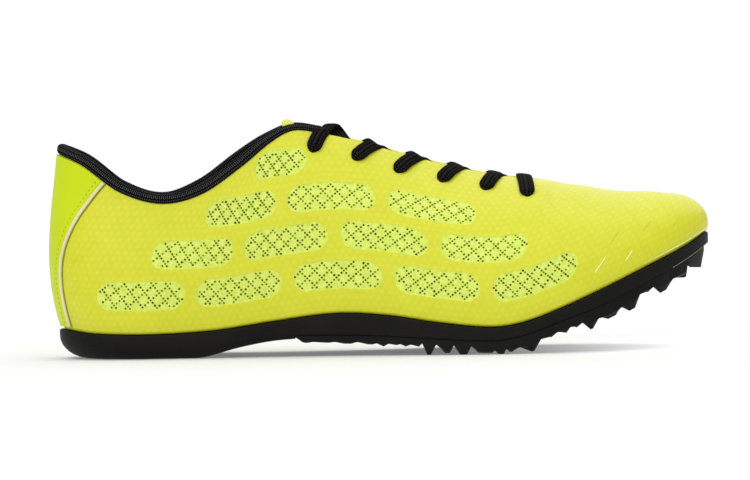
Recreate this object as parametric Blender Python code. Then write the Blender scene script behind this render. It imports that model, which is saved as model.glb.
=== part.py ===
"""A right-foot running shoe for the track: a thin hollow upper on a full-length midsole, with a
lugged plate under the forefoot.

Metres, +Z up. +X points to the toe, +Y to the inner side of the foot. The origin is on the floor,
under the middle of the shoe. Sizes below are in millimetres and MM turns them into metres.
"""

import math
from collections import namedtuple

import bmesh
import bpy
from mathutils import Matrix, Vector

MM = 0.001

# Driving sizes
LAST_LENGTH = 274.2  # heel to toe of the upper where it meets the sole
HEEL_X = -135.3  # back of the upper where it meets the sole
BALL_WIDTH = 93.0  # across the upper's bottom edge at the ball of the foot
INSTEP_HEIGHT = 95.2  # top of the eyestay above the floor
HEEL_HEIGHT = 87.1  # top of the upper at the back of the heel
TOE_SWING = 11.0  # how far the toe tip lies towards the inner side
AXIS_Y = -1.1  # where the heel's middle lies, so that the widest points are equally far out
WALL = 2.0  # thickness of the upper
GAP = 0.3  # room between pieces that meet

# Upper
HEEL_ROUND = 0.135  # share of the length that the rounded heel takes
TOE_ROUND = 0.235  # share of the length that the rounded toe takes
RIDGE_END_X = 124.3  # where the vamp's ridge turns down into the toe
RIDGE_END_PULL = 30.0  # how strongly the ridge's sections fan out at the toe
RIDGE_INWARD = 1.5  # the instep's ridge lies this far to the inner side of the axis
THROAT_END_X = 70.0  # front end of the lacing slit
THROAT_ROUND = 9.0  # length over which the slit's front end closes
FAN_TURN = 0.45  # ahead of here the sections turn towards the ridge
FAN_LENGTH = 0.2
CORNER = 1.5  # height of the turned edge where the wall meets the sole
CORNER_INSET = 1.2  # width of that turned edge
INNER_CORNER = 1.0  # the same on the inside of the wall
FLANGE = 8.0  # lasting margin, turned in under the foot
COLUMNS = 40  # sections on each side, shared by upper, sole and binding
UPPER_ROWS = 11

# Eyelets and laces
EYELET_RADIUS = 2.2
EYELET_SIDES = 10
LACE_WIDTH = 5.6
LACE_THICKNESS = 1.8
LACE_SIDES = 6
LACE_CLEAR = 0.5  # between lace and upper or tongue
LACE_CROWN = 0.2  # how far a crossing stands up over the slit
LACE_TOP_CROWN = 3.4  # the same for the loose crossing at the instep
LACE_EDGE_LIFT = 0.4  # extra room where it bends over the flap's edge
LACE_EDGE_SHARE = 0.27  # of the step to the next eyelet, where it crosses the flap's edge
LACE_START_SHARE = 0.70  # of the step to the next eyelet, where it comes out from under the other flap
LACE_START_INSET = 2.8  # from that flap's edge
LACE_START_DEPTH = 0.4

# Tongue
TONGUE_THICKNESS = 2.0
TONGUE_CLEAR = 0.9  # between tongue and upper
TONGUE_FRONT_TURN = 0.05  # it runs on this far under the vamp
TONGUE_TOP_X = -41.0
TONGUE_FREE_X = 5.0  # behind here it narrows, to come up between the flaps
TONGUE_FREE_LENGTH = 27.0
TONGUE_FREE_WIDTH = 0.7  # of the slit's width
TONGUE_RISE = 7.4  # how far its free end stands up
TONGUE_RISE_X = -28.0
TONGUE_RISE_LENGTH = 12.0
TONGUE_ROWS = 16
TONGUE_REACHES = (0.84, 0.90, 0.96)  # where its half section lies under the wall's rise

# Collar binding and heel counter
BINDING_END_X = -27.2
BINDING_WIDTH = 4.4
BINDING_HEIGHT = 4.4
BINDING_SIDES = 8
COUNTER_THICKNESS = 1.0
COUNTER_GAP = 0.45  # wider, because its facets don't follow the upper's
COUNTER_TOP = 0.985
COUNTER_COLUMNS = 6  # on each side of the heel's middle
COUNTER_ROWS = 9

# Sole
SOLE_MARGIN = 1.4  # how far the sole stands out beyond the upper's bottom edge
SOLE_BEVEL = 0.5
PLATFORM_CLEAR = 0.4  # between the lasting margin and the raised middle of the midsole
PLATE_BACK_X = -36.0  # the midsole steps up here to take the plate
PLATE_STEP = 0.7  # length of that step
PLATE_INSET = 0.8  # the plate's edge lies this far in from the midsole's
PLATE_THICKNESS = 2.0
INSOLE_THICKNESS = 3.0
INSOLE_INSET = 4.0
INSOLE_BEVEL = 0.8

# Lugs of the forefoot plate
PLATE_FRONT_X = 137.7
LUG_SMALL = 0.72  # height of every second lug in a row, as a share of its neighbours'
LUG_RIB = 0.55  # height of the rib that joins a row of lugs, as a share of theirs
VALLEY_HEIGHT = 0.5  # height between two rows, as a share of the lower one's
VALLEY_LEAD = 0.38  # where that is, as a share of the way to the next row: the front faces are steep
LUGS_ACROSS = 5
LUG_TIP_SHARE = 0.32  # width of a lug's tip, as a share of its base's
LUG_SPREAD = 0.9  # how far the tips near the edges lean outwards

Plan = namedtuple("Plan", "station outer inner")
Level = namedtuple("Level", "station height")
Edge = namedtuple("Edge", "x height half_gap inner_rise")
Profile = namedtuple("Profile", "station flare lean low_pull top_pull")
Bottom = namedtuple("Bottom", "x height edge_radius")
Lug = namedtuple("Lug", "x tip_length height growth", defaults=(0.0,))
Eyelet = namedtuple("Eyelet", "x height")
CounterEdge = namedtuple("CounterEdge", "rise turn")

# Distance from the foot's axis to the upper's bottom edge, as shares of the ball width
PLAN = [
    Plan(0.000, 0.326, 0.326),
    Plan(0.129, 0.326, 0.326),
    Plan(0.275, 0.322, 0.300),
    Plan(0.404, 0.338, 0.272),
    Plan(0.513, 0.404, 0.302),
    Plan(0.623, 0.492, 0.392),
    Plan(0.696, 0.520, 0.438),
    Plan(0.769, 0.520, 0.450),
    Plan(0.861, 0.496, 0.418),
    Plan(1.000, 0.462, 0.386),
]

# Height of the upper's bottom edge above the floor
FEATHER = [
    Level(0.000, 12.9),
    Level(0.052, 11.1),
    Level(0.147, 10.6),
    Level(0.239, 11.9),
    Level(0.330, 15.3),
    Level(0.425, 18.2),
    Level(0.502, 17.1),
    Level(0.587, 13.6),
    Level(0.667, 11.6),
    Level(0.715, 13.5),
    Level(0.769, 18.7),
    Level(0.839, 26.9),
    Level(0.912, 36.1),
    Level(0.971, 43.7),
    Level(1.000, 48.6),
]

# Edge of collar and slit, how much higher its inner side is, and ahead of the slit the vamp's ridge
TOP_EDGE = [
    Edge(-135.3, HEEL_HEIGHT, 24.0, 0.0),
    Edge(-125.0, 82.1, 24.0, 0.0),
    Edge(-110.0, 71.1, 25.5, -0.6),
    Edge(-92.0, 65.8, 27.0, -0.8),
    Edge(-75.0, 69.4, 26.5, 1.3),
    Edge(-58.0, 80.5, 23.5, 2.2),
    Edge(-45.0, 90.7, 18.0, 0.3),
    Edge(-36.0, INSTEP_HEIGHT, 14.0, 0.0),
    Edge(-26.0, 94.3, 11.5, 0.0),
    Edge(-10.0, 90.7, 10.0, 0.0),
    Edge(20.0, 81.8, 8.5, 0.0),
    Edge(48.0, 75.0, 7.0, 0.0),
    Edge(70.0, 72.1, 6.0, 0.0),
    Edge(100.0, 66.8, 0.0, 0.0),
    Edge(116.0, 65.9, 0.0, 0.0),
    Edge(124.3, 65.0, 0.0, 0.0),
]

# How each section's wall leaves the sole and arrives at the top edge, angles in degrees
PROFILE = [
    Profile(0.00, 17.0, 84.0, 0.36, 0.36),
    Profile(0.15, 12.0, 80.0, 0.36, 0.36),
    Profile(0.28, 9.0, 71.0, 0.40, 0.36),
    Profile(0.38, 7.0, 52.0, 0.42, 0.40),
    Profile(0.46, 6.0, 39.0, 0.44, 0.46),
    Profile(0.60, 8.0, 24.0, 0.46, 0.52),
    Profile(0.72, 9.0, 10.0, 0.50, 0.54),
    Profile(0.78, 8.0, 0.0, 0.54, 0.56),
    Profile(0.90, 7.0, 0.0, 0.58, 0.58),
    Profile(1.00, 15.0, 0.0, 0.62, 0.62),
]

# Underside of the midsole: flat heel, rising arch, then the line that it shares with the plate
HEEL_BOTTOM = [
    Bottom(-140.0, 0.0, 9.0),
    Bottom(-120.0, 0.0, 7.0),
    Bottom(-78.0, 0.0, 5.0),
    Bottom(-60.0, 4.2, 4.0),
    Bottom(-47.0, 6.6, 3.0),
    Bottom(-36.0, 7.6, 2.0),
]
PLATE_LINE = [
    Bottom(-36.0, 9.0, 0.8),
    Bottom(-9.0, 8.6, 0.8),
    Bottom(8.0, 7.8, 0.8),
    Bottom(25.0, 6.7, 0.8),
    Bottom(40.0, 5.8, 0.8),
    Bottom(50.0, 5.8, 0.8),
    Bottom(63.0, 8.5, 0.8),
    Bottom(76.0, 13.2, 0.8),
    Bottom(94.0, 19.9, 0.8),
    Bottom(111.0, 28.0, 0.8),
    Bottom(128.0, 36.6, 0.8),
    Bottom(142.0, 45.4, 0.8),
]

# The midsole's rounded lower edge: how far in and up from its corner, as shares of its radius
ROUND_EDGE = [(0.0, 1.0), (0.1, 0.56), (0.42, 0.14), (1.0, 0.0)]

# Rows of lugs from arch to toe: back of the tip, its length along the foot, height below the plate there,
# and how much more it is at the tip's front end
LUGS = [
    Lug(-33.4, 1.2, 1.4),
    Lug(-23.4, 1.6, 1.5),
    Lug(-15.6, 3.0, 1.5),
    Lug(-5.7, 2.2, 2.2),
    Lug(1.2, 0.0, 2.3),
    Lug(6.7, 0.0, 2.1),
    Lug(10.6, 0.0, 1.9),
    Lug(16.2, 0.0, 2.3),
    Lug(19.6, 1.4, 5.0),
    Lug(27.4, 1.8, 4.7),
    Lug(33.6, 2.6, 4.3),
    Lug(41.4, 5.6, 4.1),
    Lug(50.0, 1.8, 4.2),
    Lug(54.6, 0.8, 4.9),
    Lug(63.6, 1.2, 5.8),
    Lug(72.4, 0.0, 3.9),
    Lug(78.4, 0.0, 3.6),
    Lug(83.1, 0.0, 4.0),
    Lug(88.6, 1.0, 6.2),
    Lug(96.4, 3.4, 5.9),
    Lug(105.2, 2.4, 6.3),
    Lug(113.7, 0.0, 3.4),
    Lug(118.4, 2.6, 5.8),
    Lug(129.2, 0.8, 5.8),
    Lug(131.1, 5.1, 2.3, 3.7),
]

# Eyelets from toe to instep, the same on both sides
EYELETS = [
    Eyelet(63.4, 66.8),
    Eyelet(45.6, 69.7),
    Eyelet(27.3, 73.5),
    Eyelet(8.7, 77.9),
    Eyelet(-9.1, 83.6),
    Eyelet(-27.4, 87.6),
]

# Front edge of the heel counter: how far round the heel it reaches at each share of the height
COUNTER_EDGE = [
    CounterEdge(0.00, 0.073),
    CounterEdge(0.17, 0.069),
    CounterEdge(0.34, 0.071),
    CounterEdge(0.48, 0.084),
    CounterEdge(0.64, 0.109),
    CounterEdge(0.80, 0.138),
    CounterEdge(1.00, 0.170),
]

UP = Vector((0.0, 0.0, 1.0))
OUTER, INNER = -1, 1  # the outer side of the foot is at -Y
SMALL_TURN = 0.004  # steps that slopes are measured over
SMALL_RISE = 0.02
SECTION_FULLNESS = 0.7  # below 1, a strip's section is squarer than an ellipse


def clear_scene():
    for old in list(bpy.data.objects):
        bpy.data.objects.remove(old)


def smooth(rows, at, column):
    """The column's value where the table's first column is at, on a smooth curve through its rows."""
    keys = [row[0] for row in rows]
    values = [getattr(row, column) for row in rows]
    last = len(rows) - 1
    if at <= keys[0]:
        return values[0]
    if at >= keys[last]:
        return values[last]
    i = max(k for k in range(last) if keys[k] <= at)

    def slope(k):
        a, b = max(k - 1, 0), min(k + 1, last)
        return (values[b] - values[a]) / (keys[b] - keys[a])

    width = keys[i + 1] - keys[i]
    t = (at - keys[i]) / width
    rest = 1 - t
    return (
        values[i] * (1 + 2 * t) * rest * rest
        + values[i + 1] * (3 - 2 * t) * t * t
        + width * (slope(i) * t * rest * rest - slope(i + 1) * t * t * rest)
    )


def ease(t):
    """0 to 1 with level ends."""
    t = min(max(t, 0.0), 1.0)
    return t * t * (3 - 2 * t)


# Plan of the foot. A loop position runs from 0 at the heel along the outer side to 1 at the toe,
# then back along the inner side to 2 at the heel again.


def side_of(loop):
    """(share of the way from heel to toe, side) at a loop position."""
    loop = loop % 2.0
    return (loop, OUTER) if loop <= 1 else (2 - loop, INNER)


def station_at(turn):
    """Share of the length at a turn from 0 (heel) to 1 (toe), with sections closer together at both ends."""
    return (1 - math.cos(math.pi * turn)) / 2


def turn_at_x(x):
    station = min(max((x - HEEL_X) / LAST_LENGTH, 0.0), 1.0)
    return math.acos(1 - 2 * station) / math.pi


def axis_y(station):
    return AXIS_Y + TOE_SWING * station**3


def round_end(t):
    """Half width of a rounded end at share t of its length."""
    t = min(max(t, 0.0), 1.0)
    return math.sqrt(1 - (1 - t) ** 2)


def outline(loop):
    """The upper's bottom edge in plan."""
    turn, side = side_of(loop)
    station = station_at(turn)
    reach = smooth(PLAN, station, "outer" if side == OUTER else "inner") * BALL_WIDTH
    reach *= round_end(station / HEEL_ROUND) * round_end((1 - station) / TOE_ROUND)
    return Vector((HEEL_X + LAST_LENGTH * station, axis_y(station) + side * reach, 0.0))


def outward(loop):
    """Level direction out of the outline at a loop position."""
    along = outline(loop + SMALL_TURN) - outline(loop - SMALL_TURN)
    return along.cross(UP).normalized()


def offset_outline(loop, distance):
    return outline(loop) + outward(loop) * distance


def feather_height(x):
    return smooth(FEATHER, (x - HEEL_X) / LAST_LENGTH, "height")


# The upper's outer surface: one curve up the wall at each loop position


def top_x(turn):
    """Where the section that starts at this turn reaches the top edge. The sections fan out at the toe."""
    x = HEEL_X + LAST_LENGTH * station_at(turn)
    if turn <= 0.5:
        return x
    middle = HEEL_X + LAST_LENGTH / 2
    t = (turn - 0.5) * 2
    start_pull = LAST_LENGTH * math.pi / 4
    rest = 1 - t
    return (
        middle * (1 + 2 * t) * rest * rest
        + RIDGE_END_X * (3 - 2 * t) * t * t
        + start_pull * t * rest * rest
        - RIDGE_END_PULL * t * t * rest
    )


def half_gap(x, station):
    """Half the width of the collar's and slit's opening."""
    if x >= THROAT_END_X:
        return 0.0
    closing = round_end((THROAT_END_X - x) / THROAT_ROUND)
    return smooth(TOP_EDGE, x, "half_gap") * closing * round_end(station / HEEL_ROUND)


def top_point(loop):
    turn, side = side_of(loop)
    station = station_at(turn)
    x = top_x(turn)
    gap = half_gap(x, station)
    height = smooth(TOP_EDGE, x, "height")
    if side == INNER:
        height += smooth(TOP_EDGE, x, "inner_rise")
    ridge = axis_y((x - HEEL_X) / LAST_LENGTH) + RIDGE_INWARD * ease(station * 3)
    return Vector((x, ridge + side * gap, height))


def wall_curve(loop):
    """Four control points of the wall's curve, from the turned edge at the sole to the top edge."""
    turn, _ = side_of(loop)
    station = station_at(turn)
    low = outline(loop)
    low.z = feather_height(low.x) + CORNER
    top = top_point(loop)
    out = outward(loop)
    fan = ease((turn - FAN_TURN) / FAN_LENGTH)
    across = Vector((top.x - low.x, top.y - low.y, 0.0))
    inward = (out * -(1 - fan) + across.normalized() * fan).normalized()
    flare = math.radians(smooth(PROFILE, station, "flare"))
    lean = math.radians(smooth(PROFILE, station, "lean"))
    rise = top.z - low.z
    ahead, behind = smooth(TOP_EDGE, top.x + 2, "height"), smooth(TOP_EDGE, top.x - 2, "height")
    ridge_slope = (ahead - behind) / 4
    arrive = inward * math.cos(lean) + UP * math.sin(lean)
    arrive += UP * (inward.x * ridge_slope * math.cos(lean) * fan)
    reach = math.hypot(rise * math.sin(lean), across.length * math.cos(lean))
    leave = UP * math.cos(flare) + out * math.sin(flare)
    return (
        low,
        low + leave * (rise * smooth(PROFILE, station, "low_pull")),
        top - arrive * (reach * smooth(PROFILE, station, "top_pull")),
        top,
    )


def surface(loop, rise):
    """Point of the upper's outer surface: rise is 0 at the sole and 1 at the top edge."""
    a, b, c, d = wall_curve(loop)
    left = 1 - rise
    return a * left**3 + b * (3 * rise * left**2) + c * (3 * rise**2 * left) + d * rise**3


def throat_turn():
    """The turn whose section reaches the top exactly at the slit's front end."""
    low, high = 0.5, 1.0
    for _ in range(40):
        middle = (low + high) / 2
        low, high = (middle, high) if top_x(middle) < THROAT_END_X else (low, middle)
    return high


def section_turns():
    """Turns of the sections that upper and sole share, set so that one lies at the slit's front end."""
    throat = throat_turn()
    behind = round(throat * COLUMNS)
    ahead = COLUMNS - behind
    turns = [throat * k / behind for k in range(behind)]
    return turns + [throat + (1 - throat) * k / ahead for k in range(ahead + 1)]


def loop_positions(extra_x=()):
    """Loop positions of the shared sections all the way round, the same on both sides."""
    turns = sorted(section_turns() + [turn_at_x(x) for x in extra_x])
    return turns + [2 - turn for turn in reversed(turns[1:-1])]


def is_vamp(loop):
    return top_x(side_of(loop)[0]) >= THROAT_END_X - 1e-6


def one_normal(loop, rise):
    low, high = max(rise - SMALL_RISE, 0.0), min(rise + SMALL_RISE, 1.0)
    along = surface(loop + SMALL_TURN, rise) - surface(loop - SMALL_TURN, rise)
    up = surface(loop, high) - surface(loop, low)
    return along.cross(up).normalized()


def normal(loop, rise):
    """Outward direction of the upper's surface. Both sides share it along the vamp's ridge."""
    found = one_normal(loop, rise)
    if rise >= 1 and is_vamp(loop):
        found = (found + one_normal(2 - loop % 2, rise)).normalized()
    return found


def shell(loop, rise, out):
    """A point out from the upper's surface by this much, or in where it is negative."""
    return surface(loop, rise) + normal(loop, rise) * out


# Mesh helpers


def make_material(name, colour, roughness, metallic=0.0):
    material = bpy.data.materials.new(name)
    material.use_nodes = True
    shader = material.node_tree.nodes["Principled BSDF"]
    shader.inputs["Base Color"].default_value = (*colour, 1.0)
    shader.inputs["Roughness"].default_value = roughness
    shader.inputs["Metallic"].default_value = metallic
    return material


def add_object(name, mesh, material, crease=40.0):
    mesh.materials.append(material)
    mesh.shade_smooth()
    mesh.set_sharp_from_angle(angle=math.radians(crease))
    piece = bpy.data.objects.new(name, mesh)
    bpy.context.scene.collection.objects.link(piece)
    return piece


def mesh_of(name, points, faces):
    """A closed mesh in metres from points in millimetres, with shared points welded and faces out."""
    mesh = bpy.data.meshes.new(name)
    mesh.from_pydata([tuple(point * MM) for point in points], [], faces)
    work = bmesh.new()
    work.from_mesh(mesh)
    bmesh.ops.remove_doubles(work, verts=work.verts, dist=0.005 * MM)
    bmesh.ops.triangulate(work, faces=work.faces, quad_method="SHORT_EDGE")
    bmesh.ops.recalc_face_normals(work, faces=work.faces)
    work.to_mesh(mesh)
    work.free()
    return mesh


def grid_faces(rows, columns, start=0, wrap=False):
    """Quads of a grid whose points are stored row by row. wrap joins the last column to the first."""
    faces = []
    for i in range(rows - 1):
        for j in range(columns if wrap else columns - 1):
            k = (j + 1) % columns
            a, b = start + i * columns, start + (i + 1) * columns
            faces.append((a + j, a + k, b + k, b + j))
    return faces


def sheet_mesh(name, front, back):
    """A closed sheet between two grids of points of the same size."""
    rows, columns = len(front), len(front[0])
    points = [p for row in front for p in row] + [p for row in back for p in row]
    count = rows * columns
    faces = grid_faces(rows, columns) + grid_faces(rows, columns, count)
    border = [j for j in range(columns)]
    border += [i * columns + columns - 1 for i in range(1, rows)]
    border += [(rows - 1) * columns + j for j in range(columns - 2, -1, -1)]
    border += [i * columns for i in range(rows - 2, 0, -1)]
    for a, b in zip(border, border[1:] + border[:1]):
        faces.append((a, b, count + b, count + a))
    return mesh_of(name, points, faces)


def ring_mesh(name, rings):
    """A solid through rings of points round the foot, closed across the first and the last of them."""
    count = len(rings[0])
    half = count // 2
    points = [p for ring in rings for p in ring]
    faces = grid_faces(len(rings), count, wrap=True)
    for start in (0, (len(rings) - 1) * count):
        for k in range(half):
            across = [start + k, start + k + 1, start + (count - k - 1) % count, start + (count - k) % count]
            faces.append(tuple(dict.fromkeys(across)))
    return mesh_of(name, points, faces)


def tube_mesh(name, sections):
    """A solid through closed sections of points, with capped ends."""
    count = len(sections[0])
    points = [p for section in sections for p in section]
    last = (len(sections) - 1) * count
    faces = grid_faces(len(sections), count, wrap=True)
    faces += [tuple(range(count)), tuple(range(last, last + count))]
    return mesh_of(name, points, faces)


def rounded_section(centre, across, up, width, height, sides):
    """Points of a rounded strip's section round its centre."""
    points = []
    for k in range(sides):
        angle = 2 * math.pi * (k + 0.5) / sides
        c, s = math.cos(angle), math.sin(angle)
        x = math.copysign(abs(c) ** SECTION_FULLNESS, c) * width / 2
        y = math.copysign(abs(s) ** SECTION_FULLNESS, s) * height / 2
        points.append(centre + across * x + up * y)
    return points


# Upper


def upper_column(loop):
    """(outer points, inner points) of one section, from the lasting margin to the top edge."""
    base = outline(loop)
    out = outward(loop)

    def margin(inset, height):
        point = base - out * inset
        point.z = feather_height(point.x) + height
        return point

    rises = [j / UPPER_ROWS for j in range(UPPER_ROWS + 1)]
    outer = [margin(FLANGE, 0.0), margin(CORNER_INSET, 0.0)]
    outer += [surface(loop, rise) for rise in rises]
    inner = [margin(FLANGE, WALL), margin(WALL + INNER_CORNER, WALL), margin(WALL, WALL + INNER_CORNER)]
    inner += [shell(loop, rise, -WALL) for rise in rises[1:]]
    return outer, inner


def build_upper(material):
    loops = loop_positions()
    columns = [upper_column(loop) for loop in loops]
    count, rows = len(columns), len(columns[0][0])
    points = [p for outer, inner in columns for p in outer + inner]

    def outer_index(k, j):
        return (k % count) * 2 * rows + j

    def inner_index(k, j):
        return outer_index(k, j) + rows

    faces = []
    for k in range(count):
        for j in range(rows - 1):
            for index in (outer_index, inner_index):
                faces.append((index(k, j), index(k + 1, j), index(k + 1, j + 1), index(k, j + 1)))
        ends = [0]
        if not (is_vamp(loops[k]) and is_vamp(loops[(k + 1) % count])):
            ends.append(rows - 1)
        for j in ends:
            faces.append((outer_index(k, j), outer_index(k + 1, j), inner_index(k + 1, j), inner_index(k, j)))
    upper = add_object("upper", mesh_of("upper", points, faces), material)
    cut = upper.modifiers.new("eyelets", "BOOLEAN")
    cut.object = eyelet_cutter()
    cut.solver = "EXACT"
    return upper


# Eyelets


def place_on_flap(eyelet, side):
    """(loop position, rise) of an eyelet on one side."""
    turn = turn_at_x(eyelet.x)
    for _ in range(12):
        loop = turn if side == OUTER else 2 - turn
        low, high = 0.5, 1.0
        for _ in range(24):
            middle = (low + high) / 2
            low, high = (middle, high) if surface(loop, middle).z < eyelet.height else (low, middle)
        turn += (eyelet.x - surface(loop, high).x) / (LAST_LENGTH * math.pi / 2)
    return loop, high


def eyelet_cutter():
    """Short rods through the flaps, one for each eyelet."""
    work = bmesh.new()
    for eyelet in EYELETS:
        for side in (OUTER, INNER):
            loop, rise = place_on_flap(eyelet, side)
            centre = shell(loop, rise, -WALL / 2) * MM
            turn = normal(loop, rise).to_track_quat("Z", "Y").to_matrix().to_4x4()
            bmesh.ops.create_cone(
                work,
                cap_ends=True,
                segments=EYELET_SIDES,
                radius1=EYELET_RADIUS * MM,
                radius2=EYELET_RADIUS * MM,
                depth=WALL * 3 * MM,
                matrix=Matrix.Translation(centre) @ turn,
            )
    bmesh.ops.recalc_face_normals(work, faces=work.faces)
    mesh = bpy.data.meshes.new("eyelet_cutter")
    work.to_mesh(mesh)
    work.free()
    cutter = bpy.data.objects.new("eyelet_cutter", mesh)
    bpy.context.scene.collection.objects.link(cutter)
    cutter.hide_render = True
    cutter.display_type = "WIRE"
    return cutter


# Tongue


def tongue_row(turn, depth):
    """Points across the tongue: this deep under the flaps, and narrower than the slit at its free end."""
    outer = [shell(turn, rise, -depth) for rise in TONGUE_REACHES]
    inner = [shell(2 - turn, rise, -depth) for rise in TONGUE_REACHES]
    outer_edge, inner_edge = shell(turn, 1.0, -depth), shell(2 - turn, 1.0, -depth)
    middle = (outer_edge + inner_edge) / 2
    half = len(outer)
    free = ease((TONGUE_FREE_X - middle.x) / TONGUE_FREE_LENGTH)
    lift = TONGUE_RISE * ease((TONGUE_RISE_X - middle.x) / TONGUE_RISE_LENGTH)
    row = []
    for k, under in enumerate(outer + [middle] + list(reversed(inner))):
        away = (k - half) / half
        loose = middle + (inner_edge - outer_edge) * (away * TONGUE_FREE_WIDTH / 2)
        loose.z += lift * (1 - away * away)
        row.append(under.lerp(loose, free))
    return row


def build_tongue(material):
    first, last = turn_at_x(TONGUE_TOP_X), throat_turn() + TONGUE_FRONT_TURN
    turns = [first + (last - first) * k / TONGUE_ROWS for k in range(TONGUE_ROWS + 1)]
    top = [tongue_row(turn, WALL + TONGUE_CLEAR) for turn in turns]
    bottom = [tongue_row(turn, WALL + TONGUE_CLEAR + TONGUE_THICKNESS) for turn in turns]
    return add_object("tongue", sheet_mesh("tongue", top, bottom), material)


# Collar binding and heel counter


def build_binding(material):
    end = turn_at_x(BINDING_END_X)
    turns = [turn for turn in section_turns() if turn < end] + [end]
    loops = list(reversed(turns)) + [-turn for turn in turns[1:]]
    sections = []
    for loop in loops:
        out = normal(loop, 1.0)
        along = (surface(loop + SMALL_TURN, 1.0) - surface(loop - SMALL_TURN, 1.0)).normalized()
        up = along.cross(out).normalized()
        up = up if up.z > 0 else -up
        centre = shell(loop, 1.0, -WALL / 2) + up * (GAP + BINDING_HEIGHT / 2)
        sections.append(rounded_section(centre, out, up, BINDING_WIDTH, BINDING_HEIGHT, BINDING_SIDES))
    return add_object("collar_binding", tube_mesh("collar_binding", sections), material)


def build_counter(material):
    layers = []
    for out in (COUNTER_GAP, COUNTER_GAP + COUNTER_THICKNESS):
        grid = []
        for i in range(COUNTER_ROWS + 1):
            rise = COUNTER_TOP * i / COUNTER_ROWS
            reach = smooth(COUNTER_EDGE, rise, "turn")
            loops = [reach * k / COUNTER_COLUMNS for k in range(-COUNTER_COLUMNS, COUNTER_COLUMNS + 1)]
            grid.append([shell(loop, rise, out) for loop in loops])
        layers.append(grid)
    return add_object("heel_counter", sheet_mesh("heel_counter", layers[1], layers[0]), material)


# Sole


def sole_bottom(x, column="height"):
    return max(smooth(HEEL_BOTTOM if x < PLATE_BACK_X else PLATE_LINE, x, column), 0.0)


def build_midsole(material):
    loops = loop_positions((PLATE_BACK_X - PLATE_STEP / 2, PLATE_BACK_X + PLATE_STEP / 2))

    def top_ring(distance, rise):
        ring = [offset_outline(loop, distance) for loop in loops]
        for point in ring:
            point.z = feather_height(point.x) + rise
        return ring

    def lower_ring(share_in, share_up):
        ring = []
        for loop in loops:
            x = outline(loop).x
            radius = sole_bottom(x, "edge_radius")
            point = offset_outline(loop, SOLE_MARGIN - share_in * radius)
            point.z = sole_bottom(x) + share_up * radius
            ring.append(point)
        return ring

    rings = [
        top_ring(-FLANGE - PLATFORM_CLEAR, WALL),
        top_ring(-FLANGE - PLATFORM_CLEAR, -GAP),
        top_ring(SOLE_MARGIN - SOLE_BEVEL, -GAP),
        top_ring(SOLE_MARGIN, -GAP - SOLE_BEVEL),
    ]
    rings += [lower_ring(*shares) for shares in ROUND_EDGE]
    return add_object("midsole", ring_mesh("midsole", rings), material)


def build_insole(material):
    loops = loop_positions()
    rings = []
    for inset, rise in ((0.0, 0.0), (0.0, INSOLE_THICKNESS - INSOLE_BEVEL), (INSOLE_BEVEL, INSOLE_THICKNESS)):
        ring = []
        for loop in loops:
            point = offset_outline(loop, -(INSOLE_INSET + inset))
            point.z = feather_height(point.x) + WALL + GAP + rise
            ring.append(point)
        rings.append(ring)
    return add_object("insole", ring_mesh("insole", rings), material)


# Forefoot plate


def plate_lines():
    """(x, height below the plate, row of lugs or None) of each line across the plate, back to front."""
    lines = [(PLATE_BACK_X + PLATE_STEP, 0.0, None)]
    for row, lug in enumerate(LUGS):
        if row > 0:
            behind = LUGS[row - 1]
            tip_end = behind.x + behind.tip_length
            valley_x = tip_end + (lug.x - tip_end) * VALLEY_LEAD
            lines.append((valley_x, min(behind.height, lug.height) * VALLEY_HEIGHT, None))
        lines.append((lug.x, lug.height, row))
        if lug.tip_length:
            lines.append((lug.x + lug.tip_length, lug.height + lug.growth, row))
    return lines + [(PLATE_FRONT_X, 0.0, None)]


def plate_shares():
    """(share across the plate from -1 to 1, number of the lug or None) of each line along the plate."""
    half = 1.0 / LUGS_ACROSS
    shares = [(-1.0, None)]
    for k in range(LUGS_ACROSS):
        middle = -1 + half * (2 * k + 1)
        lean = (k - (LUGS_ACROSS - 1) / 2) / LUGS_ACROSS * half * LUG_SPREAD
        for end in (-half, half):
            shares.append((middle + end * LUG_TIP_SHARE + lean, k))
        shares.append((middle + half, None))
    return shares


def plate_mesh(top, bottom):
    """The plate: pairs of points across its plain top, and rows of points across its lugged underside."""
    rows, columns = len(bottom), len(bottom[0])
    points = [p for row in bottom for p in row] + [p for pair in top for p in pair]
    start = rows * columns
    faces = grid_faces(rows, columns) + grid_faces(rows, 2, start)
    for i in range(rows - 1):
        for edge, side in ((0, 0), (columns - 1, 1)):
            a, b = i * columns + edge, (i + 1) * columns + edge
            c, d = start + (i + 1) * 2 + side, start + i * 2 + side
            faces.append((a, b, c, d))
    for i in (0, rows - 1):
        faces.append(tuple(range(i * columns, (i + 1) * columns)) + (start + i * 2 + 1, start + i * 2))
    return mesh_of("outsole_plate", points, faces)


def build_plate(material):
    shares = plate_shares()
    top, bottom = [], []
    for x, height, row in plate_lines():
        turn = turn_at_x(x)
        ends = [offset_outline(loop, SOLE_MARGIN - PLATE_INSET) for loop in (turn, 2 - turn)]
        for end in ends:
            end.z = sole_bottom(x) - GAP
        lower_row = []
        for share, lug in shares:
            low = ends[0].lerp(ends[1], (share + 1) / 2)
            part_of_height = 1.0
            if row is not None:
                part_of_height = LUG_RIB
                if lug is not None:
                    part_of_height = LUG_SMALL if (row + lug) % 2 else 1.0
            low.z = max(low.z - PLATE_THICKNESS - height * part_of_height, 0.0)
            lower_row.append(low)
        top.append(ends)
        bottom.append(lower_row)
    return add_object("outsole_plate", plate_mesh(top, bottom), material, crease=25.0)


# Laces


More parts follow.
